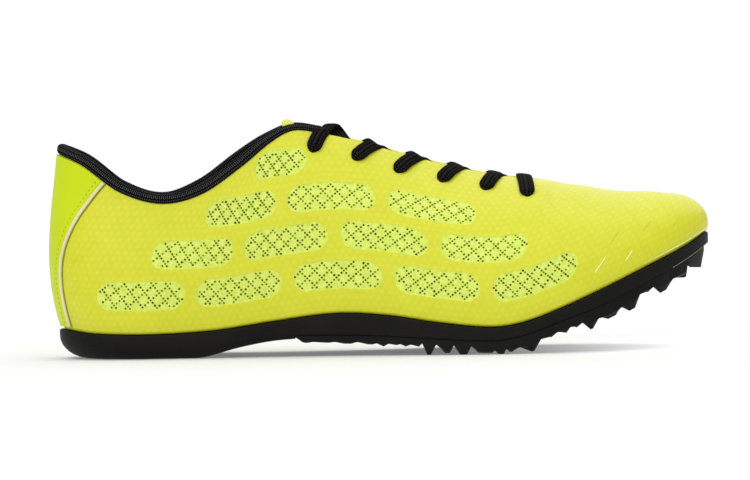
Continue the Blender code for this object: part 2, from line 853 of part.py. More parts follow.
def lace_sections(path):
    """Sections of a flat lace along (point, up) pairs."""
    sections = []
    for k, (point, up) in enumerate(path):
        before, after = path[max(k - 1, 0)][0], path[min(k + 1, len(path) - 1)][0]
        along = (after - before).normalized()
        across = along.cross(up).normalized()
        above = across.cross(along)
        sections.append(rounded_section(point, across, above, LACE_WIDTH, LACE_THICKNESS, LACE_SIDES))
    return sections


def lace_run(front, front_side, back, crown):
    """Path of one lace from the slit's edge near the front eyelet over the other flap to the back eyelet."""
    stand = LACE_THICKNESS / 2 + LACE_CLEAR
    back_side = -front_side
    loop, rise = place_on_flap(back, back_side)
    pitch = front.x - back.x
    forward = turn_at_x(back.x + LACE_EDGE_SHARE * pitch) - turn_at_x(back.x)
    path = []
    for share in (0.0, 0.5, 1.0):
        here = rise + (1 - rise) * share
        there = loop + forward * share * (1 if back_side == OUTER else -1)
        path.append((shell(there, here, stand + LACE_EDGE_LIFT * share), normal(there, here)))
    edge = path[-1][0]
    turn = turn_at_x(back.x + LACE_START_SHARE * pitch)
    near = top_point(turn if front_side == OUTER else 2 - turn)
    far = top_point(2 - turn if front_side == OUTER else turn)
    start = near + (far - near).normalized() * LACE_START_INSET
    start.z -= LACE_START_DEPTH
    for share in (0.34, 0.67, 1.0):
        point = edge.lerp(start, share)
        point.z += crown * math.sin(math.pi * share)
        path.append((point, UP))
    return path


def build_crossing(name, front, back, crown, material):
    pieces = []
    for side in (OUTER, INNER):
        mesh = tube_mesh(f"{name}_{side}", lace_sections(lace_run(front, side, back, crown)))
        pieces.append(mesh)
    crossing = add_object(name, pieces[0], material)
    other = bpy.data.objects.new(f"{name}_other", pieces[1])
    bpy.context.scene.collection.objects.link(other)
    other.hide_render = True
    other.display_type = "WIRE"
    join = crossing.modifiers.new("join", "BOOLEAN")
    join.operation = "UNION"
    join.object = other
    join.solver = "EXACT"
    return crossing


def build_bar(name, eyelet, material):
    """The straight lace across the slit's front end."""
    stand = LACE_THICKNESS / 2 + LACE_CLEAR
    halves = []
    for side in (OUTER, INNER):
        loop, rise = place_on_flap(eyelet, side)
        half = []
        for share in (0.0, 0.35, 0.7, 1.0):
            here = rise + (1 - rise) * share
            half.append((shell(loop, here, stand), normal(loop, here)))
        halves.append(half)
    path = halves[0] + list(reversed(halves[1]))
    return add_object(name, tube_mesh(name, lace_sections(path)), material)


def build_laces(material):
    build_bar("lace_bar", EYELETS[0], material)
    for k, (front, back) in enumerate(zip(EYELETS, EYELETS[1:])):
        crown = LACE_TOP_CROWN if back == EYELETS[-1] else LACE_CROWN
        build_crossing(f"lace_crossing_{k + 1}", front, back, crown, material)


def main():
    clear_scene()
    film = make_material("yellow_film", (0.72, 0.74, 0.06), 0.45)
    counter = make_material("counter_yellow", (0.60, 0.78, 0.02), 0.40)
    black_knit = make_material("black_knit", (0.012, 0.012, 0.014), 0.85)
    lace = make_material("black_lace", (0.010, 0.010, 0.011), 0.80)
    foam = make_material("black_foam", (0.020, 0.019, 0.018), 0.60)
    plate = make_material("black_plate", (0.016, 0.016, 0.018), 0.45)
    build_upper(film)
    build_tongue(film)
    build_counter(counter)
    build_binding(black_knit)
    build_insole(black_knit)
    build_midsole(foam)
    build_plate(plate)
    build_laces(lace)


main()
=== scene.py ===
import math

import bmesh
import bpy
import numpy as np
from mathutils import Matrix, Vector


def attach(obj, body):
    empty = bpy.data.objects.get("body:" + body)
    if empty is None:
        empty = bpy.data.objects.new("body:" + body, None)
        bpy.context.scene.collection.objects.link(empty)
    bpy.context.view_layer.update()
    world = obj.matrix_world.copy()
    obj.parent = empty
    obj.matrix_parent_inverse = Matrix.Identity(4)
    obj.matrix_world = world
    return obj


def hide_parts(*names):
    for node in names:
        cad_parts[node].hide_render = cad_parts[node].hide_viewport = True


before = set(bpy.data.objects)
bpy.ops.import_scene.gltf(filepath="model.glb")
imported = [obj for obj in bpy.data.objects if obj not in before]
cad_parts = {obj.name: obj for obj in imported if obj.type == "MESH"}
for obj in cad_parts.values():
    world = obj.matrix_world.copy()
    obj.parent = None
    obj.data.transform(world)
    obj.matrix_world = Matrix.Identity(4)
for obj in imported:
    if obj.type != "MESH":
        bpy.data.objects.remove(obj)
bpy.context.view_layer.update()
mm = 0.001
upward = np.array((0.0, 0.0, 1.0))
outer, inner = bothSides = (-1.0, 1.0)  # the outer side of the foot is at -y
print("frame loaded:", len(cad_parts), "nodes")

# The last, in millimetres: x runs from heel to toe
last = {
    "heelX": -135.3,
    "length": 274.2,
    "ballWidth": 93.0,
    "toeSwing": 11.0,
    "axisY": -1.1,
    "heelRound": 0.135,
    "toeRound": 0.235,
    "ridgeEndX": 124.3,
    "ridgeEndPull": 30.0,
    "ridgeInward": 1.5,
    "throatEndX": 70.0,
    "throatRound": 9.0,
    "fanTurn": 0.45,
    "fanLength": 0.2,
    "corner": 1.5,
    "toeFull": 1.3,
    "toeFullTurn": 0.12,
    "smallTurn": 0.004,
    "smallRise": 0.02,
    "smallX": 2.0,
}
# Half widths of the bottom edge as shares of the ball width
plan = {
    "station": [0.0, 0.129, 0.275, 0.404, 0.513, 0.623, 0.696, 0.769, 0.861, 1.0],
    "outer": [0.326, 0.326, 0.322, 0.338, 0.404, 0.492, 0.520, 0.520, 0.496, 0.462],
    "inner": [0.326, 0.326, 0.300, 0.272, 0.302, 0.392, 0.438, 0.450, 0.418, 0.386],
}
# Height of the upper's bottom edge over the floor
feather = {
    "station": [0.0, 0.052, 0.147, 0.239, 0.330, 0.425, 0.502, 0.587, 0.667, 0.715, 0.769, 0.839, 0.912,
                0.971, 1.0],
    "height": [12.9, 11.1, 10.6, 11.9, 15.3, 18.2, 17.1, 13.6, 11.6, 13.5, 18.7, 26.9, 36.1, 43.7, 48.6],
}
# Edge of collar and slit, how much higher its inner side is, then the vamp's ridge
topEdge = {
    "x": [-135.3, -125.0, -110.0, -92.0, -75.0, -58.0, -45.0, -36.0, -26.0, -10.0, 20.0, 48.0, 70.0, 100.0,
          116.0, 124.3],
    "height": [87.1, 82.1, 71.1, 65.8, 69.4, 80.5, 90.7, 95.2, 94.3, 90.7, 81.8, 75.0, 72.1, 66.8,
               65.9, 65.0],
    "halfGap": [24.0, 24.0, 25.5, 27.0, 26.5, 23.5, 18.0, 14.0, 11.5, 10.0, 8.5, 7.0, 6.0, 0.0, 0.0, 0.0],
    "innerRise": [0.0, 0.0, -0.6, -0.8, 1.3, 2.2, 0.3] + [0.0] * 9,
}
# How the wall leaves the sole and reaches the top, in degrees and shares
profile = {
    "station": [0.0, 0.15, 0.28, 0.38, 0.46, 0.60, 0.72, 0.78, 0.90, 1.0],
    "flare": [17.0, 12.0, 9.0, 7.0, 6.0, 8.0, 9.0, 8.0, 7.0, 15.0],
    "lean": [84.0, 80.0, 71.0, 52.0, 39.0, 24.0, 10.0, 0.0, 0.0, 0.0],
    "lowPull": [0.36, 0.36, 0.40, 0.42, 0.44, 0.46, 0.50, 0.54, 0.58, 0.62],
    "topPull": [0.36, 0.36, 0.36, 0.40, 0.46, 0.52, 0.54, 0.56, 0.58, 0.62],
}


def blend(a, b, leave, arrive, t):
    # smooth step from a to b with given slopes at its ends
    rest = 1 - t
    ends = a * (1 + 2 * t) * rest * rest + b * (3 - 2 * t) * t * t
    return ends + leave * t * rest * rest - arrive * t * t * rest


def follow(table, column, at):
    # smooth curve through a table whose first column is the position
    keys = np.array(next(iter(table.values())), float)
    values = np.array(table[column], float)
    end = len(keys) - 1
    behind = np.maximum(np.arange(end + 1) - 1, 0)
    ahead = np.minimum(np.arange(end + 1) + 1, end)
    slope = (values[ahead] - values[behind]) / (keys[ahead] - keys[behind])
    at = np.clip(at, keys[0], keys[end])
    i = np.clip(np.searchsorted(keys, at, side="right") - 1, 0, end - 1)
    width = keys[i + 1] - keys[i]
    t = (at - keys[i]) / width
    return blend(values[i], values[i + 1], width * slope[i], width * slope[i + 1], t)


def ease(t):
    t = np.clip(t, 0.0, 1.0)
    return t * t * (3 - 2 * t)


def unit(v):
    return v / np.maximum(np.linalg.norm(v, axis=-1, keepdims=True), 1e-12)


def roundEnd(t):
    t = np.clip(t, 0.0, 1.0)
    return np.sqrt(1 - (1 - t) ** 2)


# A loop position runs 0 to 1 from heel to toe on the outer side, then 1 to 2 back on the inner side
def sideOf(loop):
    loop = np.mod(loop, 2.0)
    return np.where(loop <= 1, loop, 2 - loop), np.where(loop <= 1, outer, inner)


def loopAt(turn, side):
    return np.where(np.asarray(side) < 0, turn, 2 - np.asarray(turn))


def stationAt(turn):
    return (1 - np.cos(np.pi * turn)) / 2


def turnAtX(x):
    station = np.clip((np.asarray(x, float) - last["heelX"]) / last["length"], 0.0, 1.0)
    return np.arccos(1 - 2 * station) / np.pi


def axisY(station):
    return last["axisY"] + last["toeSwing"] * station**3


def outline(loop):
    turn, side = sideOf(loop)
    station = stationAt(turn)
    reach = np.where(side < 0, follow(plan, "outer", station), follow(plan, "inner", station))
    reach = reach * last["ballWidth"] * roundEnd(station / last["heelRound"])
    reach = reach * roundEnd((1 - station) / last["toeRound"])
    x = last["heelX"] + last["length"] * station
    return np.stack([x, axisY(station) + side * reach, np.zeros_like(x)], -1)


def outward(loop):
    along = outline(loop + last["smallTurn"]) - outline(loop - last["smallTurn"])
    return unit(np.cross(along, upward))


def offsetOutline(loop, distance):
    return outline(loop) + outward(loop) * np.asarray(distance)[..., None]


def featherHeight(x):
    return follow(feather, "height", (x - last["heelX"]) / last["length"])


def topX(turn):
    middle = last["heelX"] + last["length"] / 2
    t = np.clip((turn - 0.5) * 2, 0.0, 1.0)
    fanned = blend(middle, last["ridgeEndX"], last["length"] * np.pi / 4, last["ridgeEndPull"], t)
    return np.where(turn <= 0.5, last["heelX"] + last["length"] * stationAt(turn), fanned)


def topPoint(loop):
    turn, side = sideOf(loop)
    station = stationAt(turn)
    x = topX(turn)
    closing = roundEnd((last["throatEndX"] - x) / last["throatRound"])
    gap = follow(topEdge, "halfGap", x) * closing * roundEnd(station / last["heelRound"])
    height = follow(topEdge, "height", x)
    height = height + (side > 0) * follow(topEdge, "innerRise", x)
    ridge = axisY((x - last["heelX"]) / last["length"]) + last["ridgeInward"] * ease(station * 3)
    return np.stack([x, ridge + side * gap, height], -1)


def toeFullness(turn):
    # the film stands out furthest over the sole at the very toe
    return last["toeFull"] * ease((turn - 1) / last["toeFullTurn"] + 1)


def surface(loop, rise):
    loop, rise = np.broadcast_arrays(np.asarray(loop, float), np.asarray(rise, float))
    turn, _ = sideOf(loop)
    station = stationAt(turn)
    low = outline(loop)
    low[..., 2] = featherHeight(low[..., 0]) + last["corner"]
    top = topPoint(loop)
    out = outward(loop)
    fan = ease((turn - last["fanTurn"]) / last["fanLength"])[..., None]
    across = (top - low) * np.array((1.0, 1.0, 0.0))
    inward = unit(-out * (1 - fan) + unit(across) * fan)
    flare = np.radians(follow(profile, "flare", station))[..., None]
    lean = np.radians(follow(profile, "lean", station))[..., None]
    height = (top - low)[..., 2:3]
    ahead, behind = (follow(topEdge, "height", top[..., 0] + way * last["smallX"]) for way in (1, -1))
    ridgeSlope = (ahead - behind)[..., None] / (2 * last["smallX"])
    arrive = inward * np.cos(lean) + upward * np.sin(lean)
    arrive = arrive + upward * (inward[..., 0:1] * ridgeSlope * np.cos(lean) * fan)
    length = np.linalg.norm(across, axis=-1, keepdims=True)
    reach = np.hypot(height * np.sin(lean), length * np.cos(lean))
    leave = upward * np.cos(flare) + out * np.sin(flare)
    second = low + leave * height * follow(profile, "lowPull", station)[..., None]
    third = top - arrive * reach * follow(profile, "topPull", station)[..., None]
    r = rise[..., None]
    left = 1 - r
    wall = low * left**3 + second * (3 * r * left**2) + third * (3 * r**2 * left) + top * r**3
    return wall + out * toeFullness(turn)[..., None] * left**2


def oneNormal(loop, rise):
    step = last["smallTurn"]
    lower, higher = np.maximum(rise - last["smallRise"], 0.0), np.minimum(rise + last["smallRise"], 1.0)
    along = surface(loop + step, rise) - surface(loop - step, rise)
    return unit(np.cross(along, surface(loop, higher) - surface(loop, lower)))


def normal(loop, rise):
    loop, rise = np.broadcast_arrays(np.asarray(loop, float), np.asarray(rise, float))
    found = oneNormal(loop, rise)
    onRidge = (rise >= 1) & (topX(sideOf(loop)[0]) >= last["throatEndX"] - 1e-3)
    both = unit(found + oneNormal(2 - np.mod(loop, 2.0), rise))
    return np.where(onRidge[..., None], both, found)


def shell(loop, rise, out):
    return surface(loop, rise) + normal(loop, rise) * np.asarray(out, float)[..., None]


manyTurns = np.linspace(0.5, 1.0, 8001)
throatTurn = float(np.interp(last["throatEndX"], topX(manyTurns), manyTurns))


def evenTurns(step, start=0.0, end=1.0):
    # turns about this far apart along the bottom edge
    fine = np.linspace(start, end, 3001)
    sides = [np.linalg.norm(np.diff(outline(loopAt(fine, side)), axis=0), axis=1) for side in bothSides]
    length = np.concatenate([[0.0], np.cumsum((sides[0] + sides[1]) / 2)])
    count = max(int(round(length[-1] / step)), 2)
    return np.interp(np.linspace(0, length[-1], count + 1), length, fine)


# Shader helpers
def setSocket(tree, socket, value):
    if isinstance(value, bpy.types.NodeSocket):
        tree.links.new(value, socket)
    else:
        socket.default_value = value


def addNode(tree, kind, values=None, **settings):
    node = tree.nodes.new(kind)
    for name, value in settings.items():
        setattr(node, name, value)
    for name, value in (values or {}).items():
        setSocket(tree, node.inputs[name], value)
    return node


def math2(tree, operation, a, b=0.5):
    return addNode(tree, "ShaderNodeMath", {0: a, 1: b}, operation=operation).outputs[0]


def weighted(tree, *parts):
    # sum of (value, share)
    total = 0.0
    for value, share in parts:
        added = addNode(tree, "ShaderNodeMath", {0: value, 1: share, 2: total}, operation="MULTIPLY_ADD")
        total = added.outputs[0]
    return total


def dotWith(tree, vector, direction):
    node = addNode(tree, "ShaderNodeVectorMath", {0: vector, 1: direction}, operation="DOT_PRODUCT")
    return node.outputs["Value"]


def spread(tree, value, low, high, toLow=0.0, toHigh=1.0, curve="LINEAR"):
    node = addNode(tree, "ShaderNodeMapRange", {"Value": value, "From Min": low, "From Max": high,
                                                "To Min": toLow, "To Max": toHigh}, interpolation_type=curve)
    return node.outputs["Result"]


def mixColour(tree, factor, a, b):
    node = addNode(tree, "ShaderNodeMix", {"Factor": factor}, data_type="RGBA")
    sockets = [s for s in node.inputs if s.enabled and s.name in ("A", "B")]
    for socket, colour in zip(sockets, (a, b)):
        socket.default_value = (*colour, 1.0)
    return next(s for s in node.outputs if s.enabled)


def addInputs(tree, inputs):
    for label, kind, value in inputs:
        socket = tree.interface.new_socket(label, in_out="INPUT", socket_type=kind)
        if value is not None:
            socket.default_value = value


def newGroup(name, inputs, outputs):
    group = bpy.data.node_groups.new(name, "ShaderNodeTree")
    addInputs(group, inputs)
    for label in outputs:
        group.interface.new_socket(label, in_out="OUTPUT", socket_type="NodeSocketFloat")
    return group, group.nodes.new("NodeGroupInput").outputs, group.nodes.new("NodeGroupOutput").inputs


def useGroup(tree, group, values):
    return addNode(tree, "ShaderNodeGroup", values, node_tree=group).outputs


def makeGrainGroup():
    # fine pebbled grain and slow tone changes, in millimetres
    group, given, result = newGroup("grain", [
        ("Vector", "NodeSocketVector", None), ("Grain Size", "NodeSocketFloat", 0.5),
        ("Patch Size", "NodeSocketFloat", 20.0)], ("Height", "Tone"))
    for label, size, detail in (("Height", "Grain Size", 3.0), ("Tone", "Patch Size", 2.0)):
        scale = math2(group, "DIVIDE", 1.0, given[size])
        noise = addNode(group, "ShaderNodeTexNoise", {
            "Vector": given["Vector"], "Scale": scale, "Detail": detail})
        group.links.new(noise.outputs[0], result[label])
    return group


def makeLatticeGroup():
    # rounded bumps on a honeycomb lattice: three waves at 60 degrees
    group, given, result = newGroup("honeycomb", [
        ("Vector", "NodeSocketVector", None), ("Pitch", "NodeSocketFloat", 4.5)], ("Height",))
    perPitch = math2(group, "DIVIDE", 4 * math.pi / math.sqrt(3), given["Pitch"])
    waves = []
    for degrees in (30, 90, 150):
        angle = math.radians(degrees)
        along = dotWith(group, given["Vector"], (math.cos(angle), math.sin(angle), 0.0))
        waves.append((math2(group, "COSINE", math2(group, "MULTIPLY", along, perPitch)), 1.0))
    group.links.new(spread(group, weighted(group, *waves), -1.5, 3.0), result["Height"])
    return group


def makeKnitGroup():
    # rows of small loops: wales side by side along x of the given vector, courses along y
    group, given, result = newGroup("knit", [
        ("Vector", "NodeSocketVector", None), ("Wale", "NodeSocketFloat", 0.9),
        ("Course", "NodeSocketFloat", 0.7), ("Slant", "NodeSocketFloat", 0.35)], ("Height",))
    parts = addNode(group, "ShaderNodeSeparateXYZ", {"Vector": given["Vector"]}).outputs
    across = math2(group, "DIVIDE", parts["X"], given["Wale"])
    zigzag = math2(group, "PINGPONG", across, 0.5)
    course = math2(group, "DIVIDE", parts["Y"], given["Course"])
    slant = math2(group, "MULTIPLY", given["Slant"], 4.0)
    lifted = weighted(group, (course, 1.0), (zigzag, slant))
    ribs = math2(group, "SINE", math2(group, "MULTIPLY", lifted, 2 * math.pi))
    wales = math2(group, "COSINE", math2(group, "MULTIPLY", across, 4 * math.pi))
    group.links.new(spread(group, weighted(group, (ribs, 0.6), (wales, -0.4)), -1.0, 1.0), result["Height"])
    return group


grainGroup = makeGrainGroup()
latticeGroup = makeLatticeGroup()
knitGroup = makeKnitGroup()


def startMaterial(name, roughness=0.5, shine=0.5):
    material = bpy.data.materials.new(name)
    material.use_nodes = True
    shader = material.node_tree.nodes["Principled BSDF"]
    shader.inputs["Roughness"].default_value = roughness
    shader.inputs["Specular IOR Level"].default_value = shine
    return material, material.node_tree, shader


def millimetres(tree):
    place = tree.nodes.new("ShaderNodeTexCoord").outputs["Object"]
    return addNode(tree, "ShaderNodeVectorMath", {0: place, "Scale": 1000.0}, operation="SCALE").outputs[0]


def surfaceUv(tree, name):
    return addNode(tree, "ShaderNodeUVMap", uv_map=name).outputs[0]


def grainOf(tree, grainSize, patchSize):
    return useGroup(tree, grainGroup, {"Vector": millimetres(tree), "Grain Size": grainSize,
                                       "Patch Size": patchSize})


def paint(tree, shader, tone, dark, light):
    tree.links.new(mixColour(tree, tone, dark, light), shader.inputs["Base Color"])


def bump(tree, shader, layers):
    # layers of (height, millimetres); each adds to the one before
    found = None
    for height, depth in layers:
        node = addNode(tree, "ShaderNodeBump", {"Height": height, "Strength": 1.0, "Distance": depth * mm})
        if found is not None:
            tree.links.new(found, node.inputs["Normal"])
        found = node.outputs[0]
    tree.links.new(found, shader.inputs["Normal"])


filmLook = {
    "pale": (0.715, 0.727, 0.026),
    "deep": (0.630, 0.643, 0.005),
    "roughLow": 0.36,
    "roughHigh": 0.50,
    "latticePitch": 3.2,
    "latticeDepth": 0.05,
    "latticeShare": 0.25,
    "grainSize": 0.35,
    "grainDepth": 0.018,
    "patchSize": 26.0,
    "patchShare": 0.38,
    "cellSize": 4.5,
    "cellGrain": 1.5,
    "cellShare": 0.37,
    "lineStep": 11.0,
    "lineTurn": 41.0,
    "lineWidth": 0.5,
    "lineDepth": 0.03,
}


def filmMaterial():
    look = filmLook
    material, tree, shader = startMaterial("yellowFilm")
    uv = surfaceUv(tree, "film")
    grain = grainOf(tree, look["grainSize"], look["patchSize"])
    cells = grainOf(tree, look["cellGrain"], look["cellSize"])["Tone"]
    lattice = useGroup(tree, latticeGroup, {"Vector": uv, "Pitch": look["latticePitch"]})["Height"]
    angle = math.radians(look["lineTurn"])
    along = dotWith(tree, uv, (-math.sin(angle), math.cos(angle), 0.0))
    saw = math2(tree, "PINGPONG", along, look["lineStep"] / 2)
    line = spread(tree, saw, 0.0, look["lineWidth"], 1.0, 0.0)
    tone = weighted(tree, (lattice, look["latticeShare"]), (grain["Tone"], look["patchShare"]),
                    (cells, look["cellShare"]))
    paint(tree, shader, spread(tree, tone, 0.25, 0.75), look["deep"], look["pale"])
    rough = spread(tree, grain["Height"], 0.3, 0.7, look["roughLow"], look["roughHigh"])
    tree.links.new(rough, shader.inputs["Roughness"])
    bump(tree, shader, [(lattice, look["latticeDepth"]), (grain["Height"], look["grainDepth"]),
                        (line, look["lineDepth"])])
    return material


meshLook = {
    "deep": (0.55, 0.76, 0.06),
    "pale": (0.93, 1.0, 0.22),
    "holeDeep": (0.03, 0.045, 0.001),
    "holePale": (0.18, 0.24, 0.004),
    "turn": 41.0,
    "wale": 0.73,
    "course": 0.55,
    "slant": 0.3,
    "threadHighlightShare": 0.45,
    "knitDepth": 0.12,
    "grainSize": 0.8,
    "patchSize": 1.6,
}


def meshMaterial():
    look = meshLook
    material, tree, shader = startMaterial("paleMesh", 0.75)
    turned = addNode(tree, "ShaderNodeMapping", {
        "Vector": surfaceUv(tree, "film"), "Rotation": (0.0, 0.0, math.radians(look["turn"]))})
    knit = useGroup(tree, knitGroup, {"Vector": turned.outputs[0], "Wale": look["wale"],
                                      "Course": look["course"], "Slant": look["slant"]})["Height"]
    mottle = spread(tree, grainOf(tree, look["grainSize"], look["patchSize"])["Tone"], 0.3, 0.7)
    # the knit's raised threads are painted paler as highlights; the rest is a mottled tone of the yarn
    tone = weighted(tree, (knit, look["threadHighlightShare"]), (mottle, 1 - look["threadHighlightShare"]))
    paint(tree, shader, tone, look["deep"], look["pale"])
    bump(tree, shader, [(knit, look["knitDepth"])])
    return material


def holeMaterial():
    material, tree, shader = startMaterial("meshHole", 0.9, 0.05)
    shade = addNode(tree, "ShaderNodeAttribute", attribute_name="holeShade").outputs["Fac"]
    paint(tree, shader, shade, meshLook["holeDeep"], meshLook["holePale"])
    return material


def clothMaterial(name, dark, light, size, depth, uvName=None, highlightPower=1.0, shine=0.12):
    material, tree, shader = startMaterial(name, 0.85, shine)
    vector = surfaceUv(tree, uvName) if uvName else millimetres(tree)
    knit = useGroup(tree, knitGroup, {"Vector": vector, "Wale": size, "Course": size * 0.7})["Height"]
    grain = grainOf(tree, 0.3, 15.0)
    fuzz = spread(tree, grain["Height"], 0.35, 0.65, 0.4, 1.0)
    # the light tone goes on the knit's crests: painted highlights on the threads, sparse specks where the
    # power is high
    paint(tree, shader, math2(tree, "MULTIPLY", math2(tree, "POWER", knit, highlightPower), fuzz), dark, light)
    tree.links.new(spread(tree, grain["Tone"], 0.3, 0.7, 0.78, 0.92), shader.inputs["Roughness"])
    bump(tree, shader, [(knit, depth)])
    return material


def mouldedMaterial(name, dark, light, rough, grainSize, grainDepth, shine=0.5):
    material, tree, shader = startMaterial(name, shine=shine)
    grain = grainOf(tree, grainSize, 18.0)
    paint(tree, shader, spread(tree, grain["Tone"], 0.3, 0.7), dark, light)
    tree.links.new(spread(tree, grain["Height"], 0.3, 0.7, *rough), shader.inputs["Roughness"])
    bump(tree, shader, [(grain["Height"], grainDepth)])
    return material


film = filmMaterial()
paleMesh = meshMaterial()
holeDark = holeMaterial()
# Cloth: dark and light tone, size of a stitch and its depth in millimetres, the map it follows
# the light tone is painted highlight on the knit's crests, sparse specks on binding and lace
lining = clothMaterial("blackLining", (0.006, 0.006, 0.007), (0.026, 0.026, 0.028), 1.1, 0.12, "film")
insoleFinish = clothMaterial("blackInsole", (0.008, 0.008, 0.009), (0.028, 0.028, 0.030), 1.3, 0.15)
bindingFinish = clothMaterial("blackKnit", (0.0015, 0.0015, 0.0015), (0.26, 0.26, 0.265), 1.7, 0.2, "strip",
                              highlightPower=8.0, shine=0.03)
laceFinish = clothMaterial("blackLace", (0.0012, 0.0011, 0.0008), (0.095, 0.089, 0.079), 1.5, 0.36, "strip",
                           highlightPower=5.0, shine=0.03)
# Smooth and moulded: dark and light tone, roughness, size and depth of the grain in millimetres
counterFinish = mouldedMaterial("counterYellow", (0.575, 0.705, 0.001), (0.600, 0.735, 0.002), (0.40, 0.52),
                                0.4, 0.012, shine=0.25)
pipingFinish = mouldedMaterial("beigePiping", (0.74, 0.68, 0.36), (0.82, 0.76, 0.43), (0.6, 0.75), 0.5, 0.03)
paleLineFinish = mouldedMaterial("paleLine", (0.88, 0.88, 0.48), (0.95, 0.95, 0.60), (0.5, 0.7), 0.5, 0.01)
darkLineFinish = mouldedMaterial("darkVampLine", (0.49, 0.50, 0.008), (0.56, 0.57, 0.012), (0.5, 0.7), 0.5, 0.01)
# painted shadow: a thin dark line along the piping's toe-ward side
pipingShadowFinish = mouldedMaterial("pipingShadowLine", (0.20, 0.20, 0.015), (0.27, 0.27, 0.020), (0.7, 0.8), 0.5, 0.01)
# painted light: a pale line between band and plate near the toe
gapLightFinish = mouldedMaterial("paintedGapLight", (0.34, 0.31, 0.25), (0.44, 0.40, 0.33), (0.6, 0.8), 0.5, 0.01)
stitchFinish = mouldedMaterial("counterStitch", (0.33, 0.40, 0.010), (0.40, 0.48, 0.015), (0.6, 0.8),
                               0.2, 0.02)
foamFinish = mouldedMaterial("blackFoam", (0.0045, 0.0042, 0.0034), (0.0075, 0.0071, 0.0060), (0.48, 0.62),
                             0.4, 0.02, shine=0.12)
plateFinish = mouldedMaterial("blackPlate", (0.0042, 0.0040, 0.0038), (0.0070, 0.0067, 0.0064), (0.38, 0.55),
                              0.6, 0.03, shine=0.12)
print("materials made")


# Mesh helpers
def gridFaces(rows, columns, wrap=False, start=0):
    faces = []
    for i in range(rows - 1):
        for j in range(columns if wrap else columns - 1):
            k = (j + 1) % columns
            a, b = start + i * columns, start + (i + 1) * columns
            faces.append((a + j, a + k, b + k, b + j))
    return faces


def addObject(name, data):
    piece = bpy.data.objects.new(name, data)
    bpy.context.scene.collection.objects.link(piece)
    return piece


def finishPiece(name, mesh, replaced=(), sharpAngle=None):
    mesh.shade_smooth()
    if sharpAngle is not None:
        mesh.set_sharp_from_angle(angle=math.radians(sharpAngle))
    piece = addObject(name, mesh)
    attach(piece, "root")
    if replaced:
        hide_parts(*replaced)
    mesh.calc_loop_triangles()
    print(name, len(mesh.loop_triangles), "triangles")


def closedMesh(name, points, faces, materials, uv=None, uvName="strip"):
    # uv is one pair for each point
    mesh = bpy.data.meshes.new(name)
    mesh.from_pydata((np.asarray(points) * mm).tolist(), [], faces)
    for material in materials:
        mesh.materials.append(material)
    if uv is not None:
        corners = np.zeros(len(mesh.loops), np.int32)
        mesh.loops.foreach_get("vertex_index", corners)
        layer = mesh.uv_layers.new(name=uvName)
        layer.data.foreach_set("uv", np.asarray(uv, np.float32)[corners].ravel())
    work = bmesh.new()
    work.from_mesh(mesh)
    bmesh.ops.remove_doubles(work, verts=work.verts, dist=0.002 * mm)
    bmesh.ops.recalc_face_normals(work, faces=work.faces)
    work.to_mesh(mesh)
    work.free()
    return mesh


def sheetFaces(rows, columns):
    # faces of a closed sheet: front grid, back grid and the strip round the border
    count = rows * columns
    faces = gridFaces(rows, columns) + gridFaces(rows, columns, start=count)
    border = list(range(columns)) + [i * columns + columns - 1 for i in range(1, rows)]
    border += [(rows - 1) * columns + j for j in range(columns - 2, -1, -1)]
    border += [i * columns for i in range(rows - 2, 0, -1)]
    for a, b in zip(border, border[1:] + border[:1]):
        faces.append((a, b, count + b, count + a))
    return faces


def sheetMesh(name, front, back, material, uv=None, uvName="strip"):
    points = np.concatenate([front.reshape(-1, 3), back.reshape(-1, 3)])
    return closedMesh(name, points, sheetFaces(*front.shape[:2]), [material], uv, uvName)


def quarterRound(rows):
    # steps round a quarter of a circle: shares still to go across and up
    for k in range(rows + 1):
        angle = math.pi / 2 * k / rows
        yield 1 - math.cos(angle), 1 - math.sin(angle)


# Upper: film over mesh with punched eyelets and ventilation slots
upperMake = {
    "columnStep": 1.35,
    "rows": 60,
    "wall": 2.0,
    "innerStart": 0.06,
    "rimBulge": 0.5,
    "rimRows": 3,
    "eyeletRadius": 2.2,
    "farAway": 50.0,
}
filmKind, meshKind, liningKind = range(3)  # order of the upper's materials
# Turned-in bottom edge: rows under the wall, outer and inner points as inset and height
bottomEdge = {
    "rise": [-0.4, -0.3, -0.2, -0.1, 0.0],
    "inset": [8.0, 1.2, 0.6, 0.16, 0.0],
    "height": [0.0, 0.0, 0.2, 0.75, 1.5],
    "innerInset": [8.0, 3.4, 2.8, 2.35, 2.0],
    "innerHeight": [2.0, 2.0, 2.1, 2.5, 3.0],
}
eyelets = {
    "x": [63.4, 45.6, 27.3, 8.7, -9.1, -27.4],
    "height": [66.8, 69.7, 73.5, 77.9, 83.6, 87.6],
}
# Rows of rounded slots, measured along the surface: height over the sole, first slot's middle, number
slots = {
    "rows": {
        "v": [15.0, 32.0, 49.0, 66.0],
        "first": [-103.0, -82.0, -61.0, -42.0],
        "count": [5, 4, 3, 1],
        "length": [38.0, 38.0, 38.0, 27.0],
    },
    "pitch": 43.0,
    "halfHeight": 6.1,
    "recess": 0.32,
    "bevel": 0.22,
}
# Soft troughs (negative) and ridges where the upper flexes, between two places on the surface
softFolds = [
    {"start": (70.0, 34.0), "end": (84.0, 66.0), "width": 5.0, "depth": -0.35},
    {"start": (80.0, 32.0), "end": (94.0, 60.0), "width": 5.0, "depth": 0.25},
    {"start": (-30.0, 26.0), "end": (20.0, 30.0), "width": 14.0, "depth": -0.5},
    {"start": (-112.0, 46.0), "end": (-92.0, 42.0), "width": 6.0, "depth": -0.35},
    {"start": (-92.0, 42.0), "end": (-66.0, 50.0), "width": 6.0, "depth": -0.35},
]

upperTurns = np.concatenate([
    evenTurns(upperMake["columnStep"], 0.0, throatTurn)[:-1],
    evenTurns(upperMake["columnStep"], throatTurn, 1.0),
])
throatColumn = int(np.argmin(abs(upperTurns - throatTurn)))
upperRises = np.linspace(0.0, 1.0, upperMake["rows"] + 1)


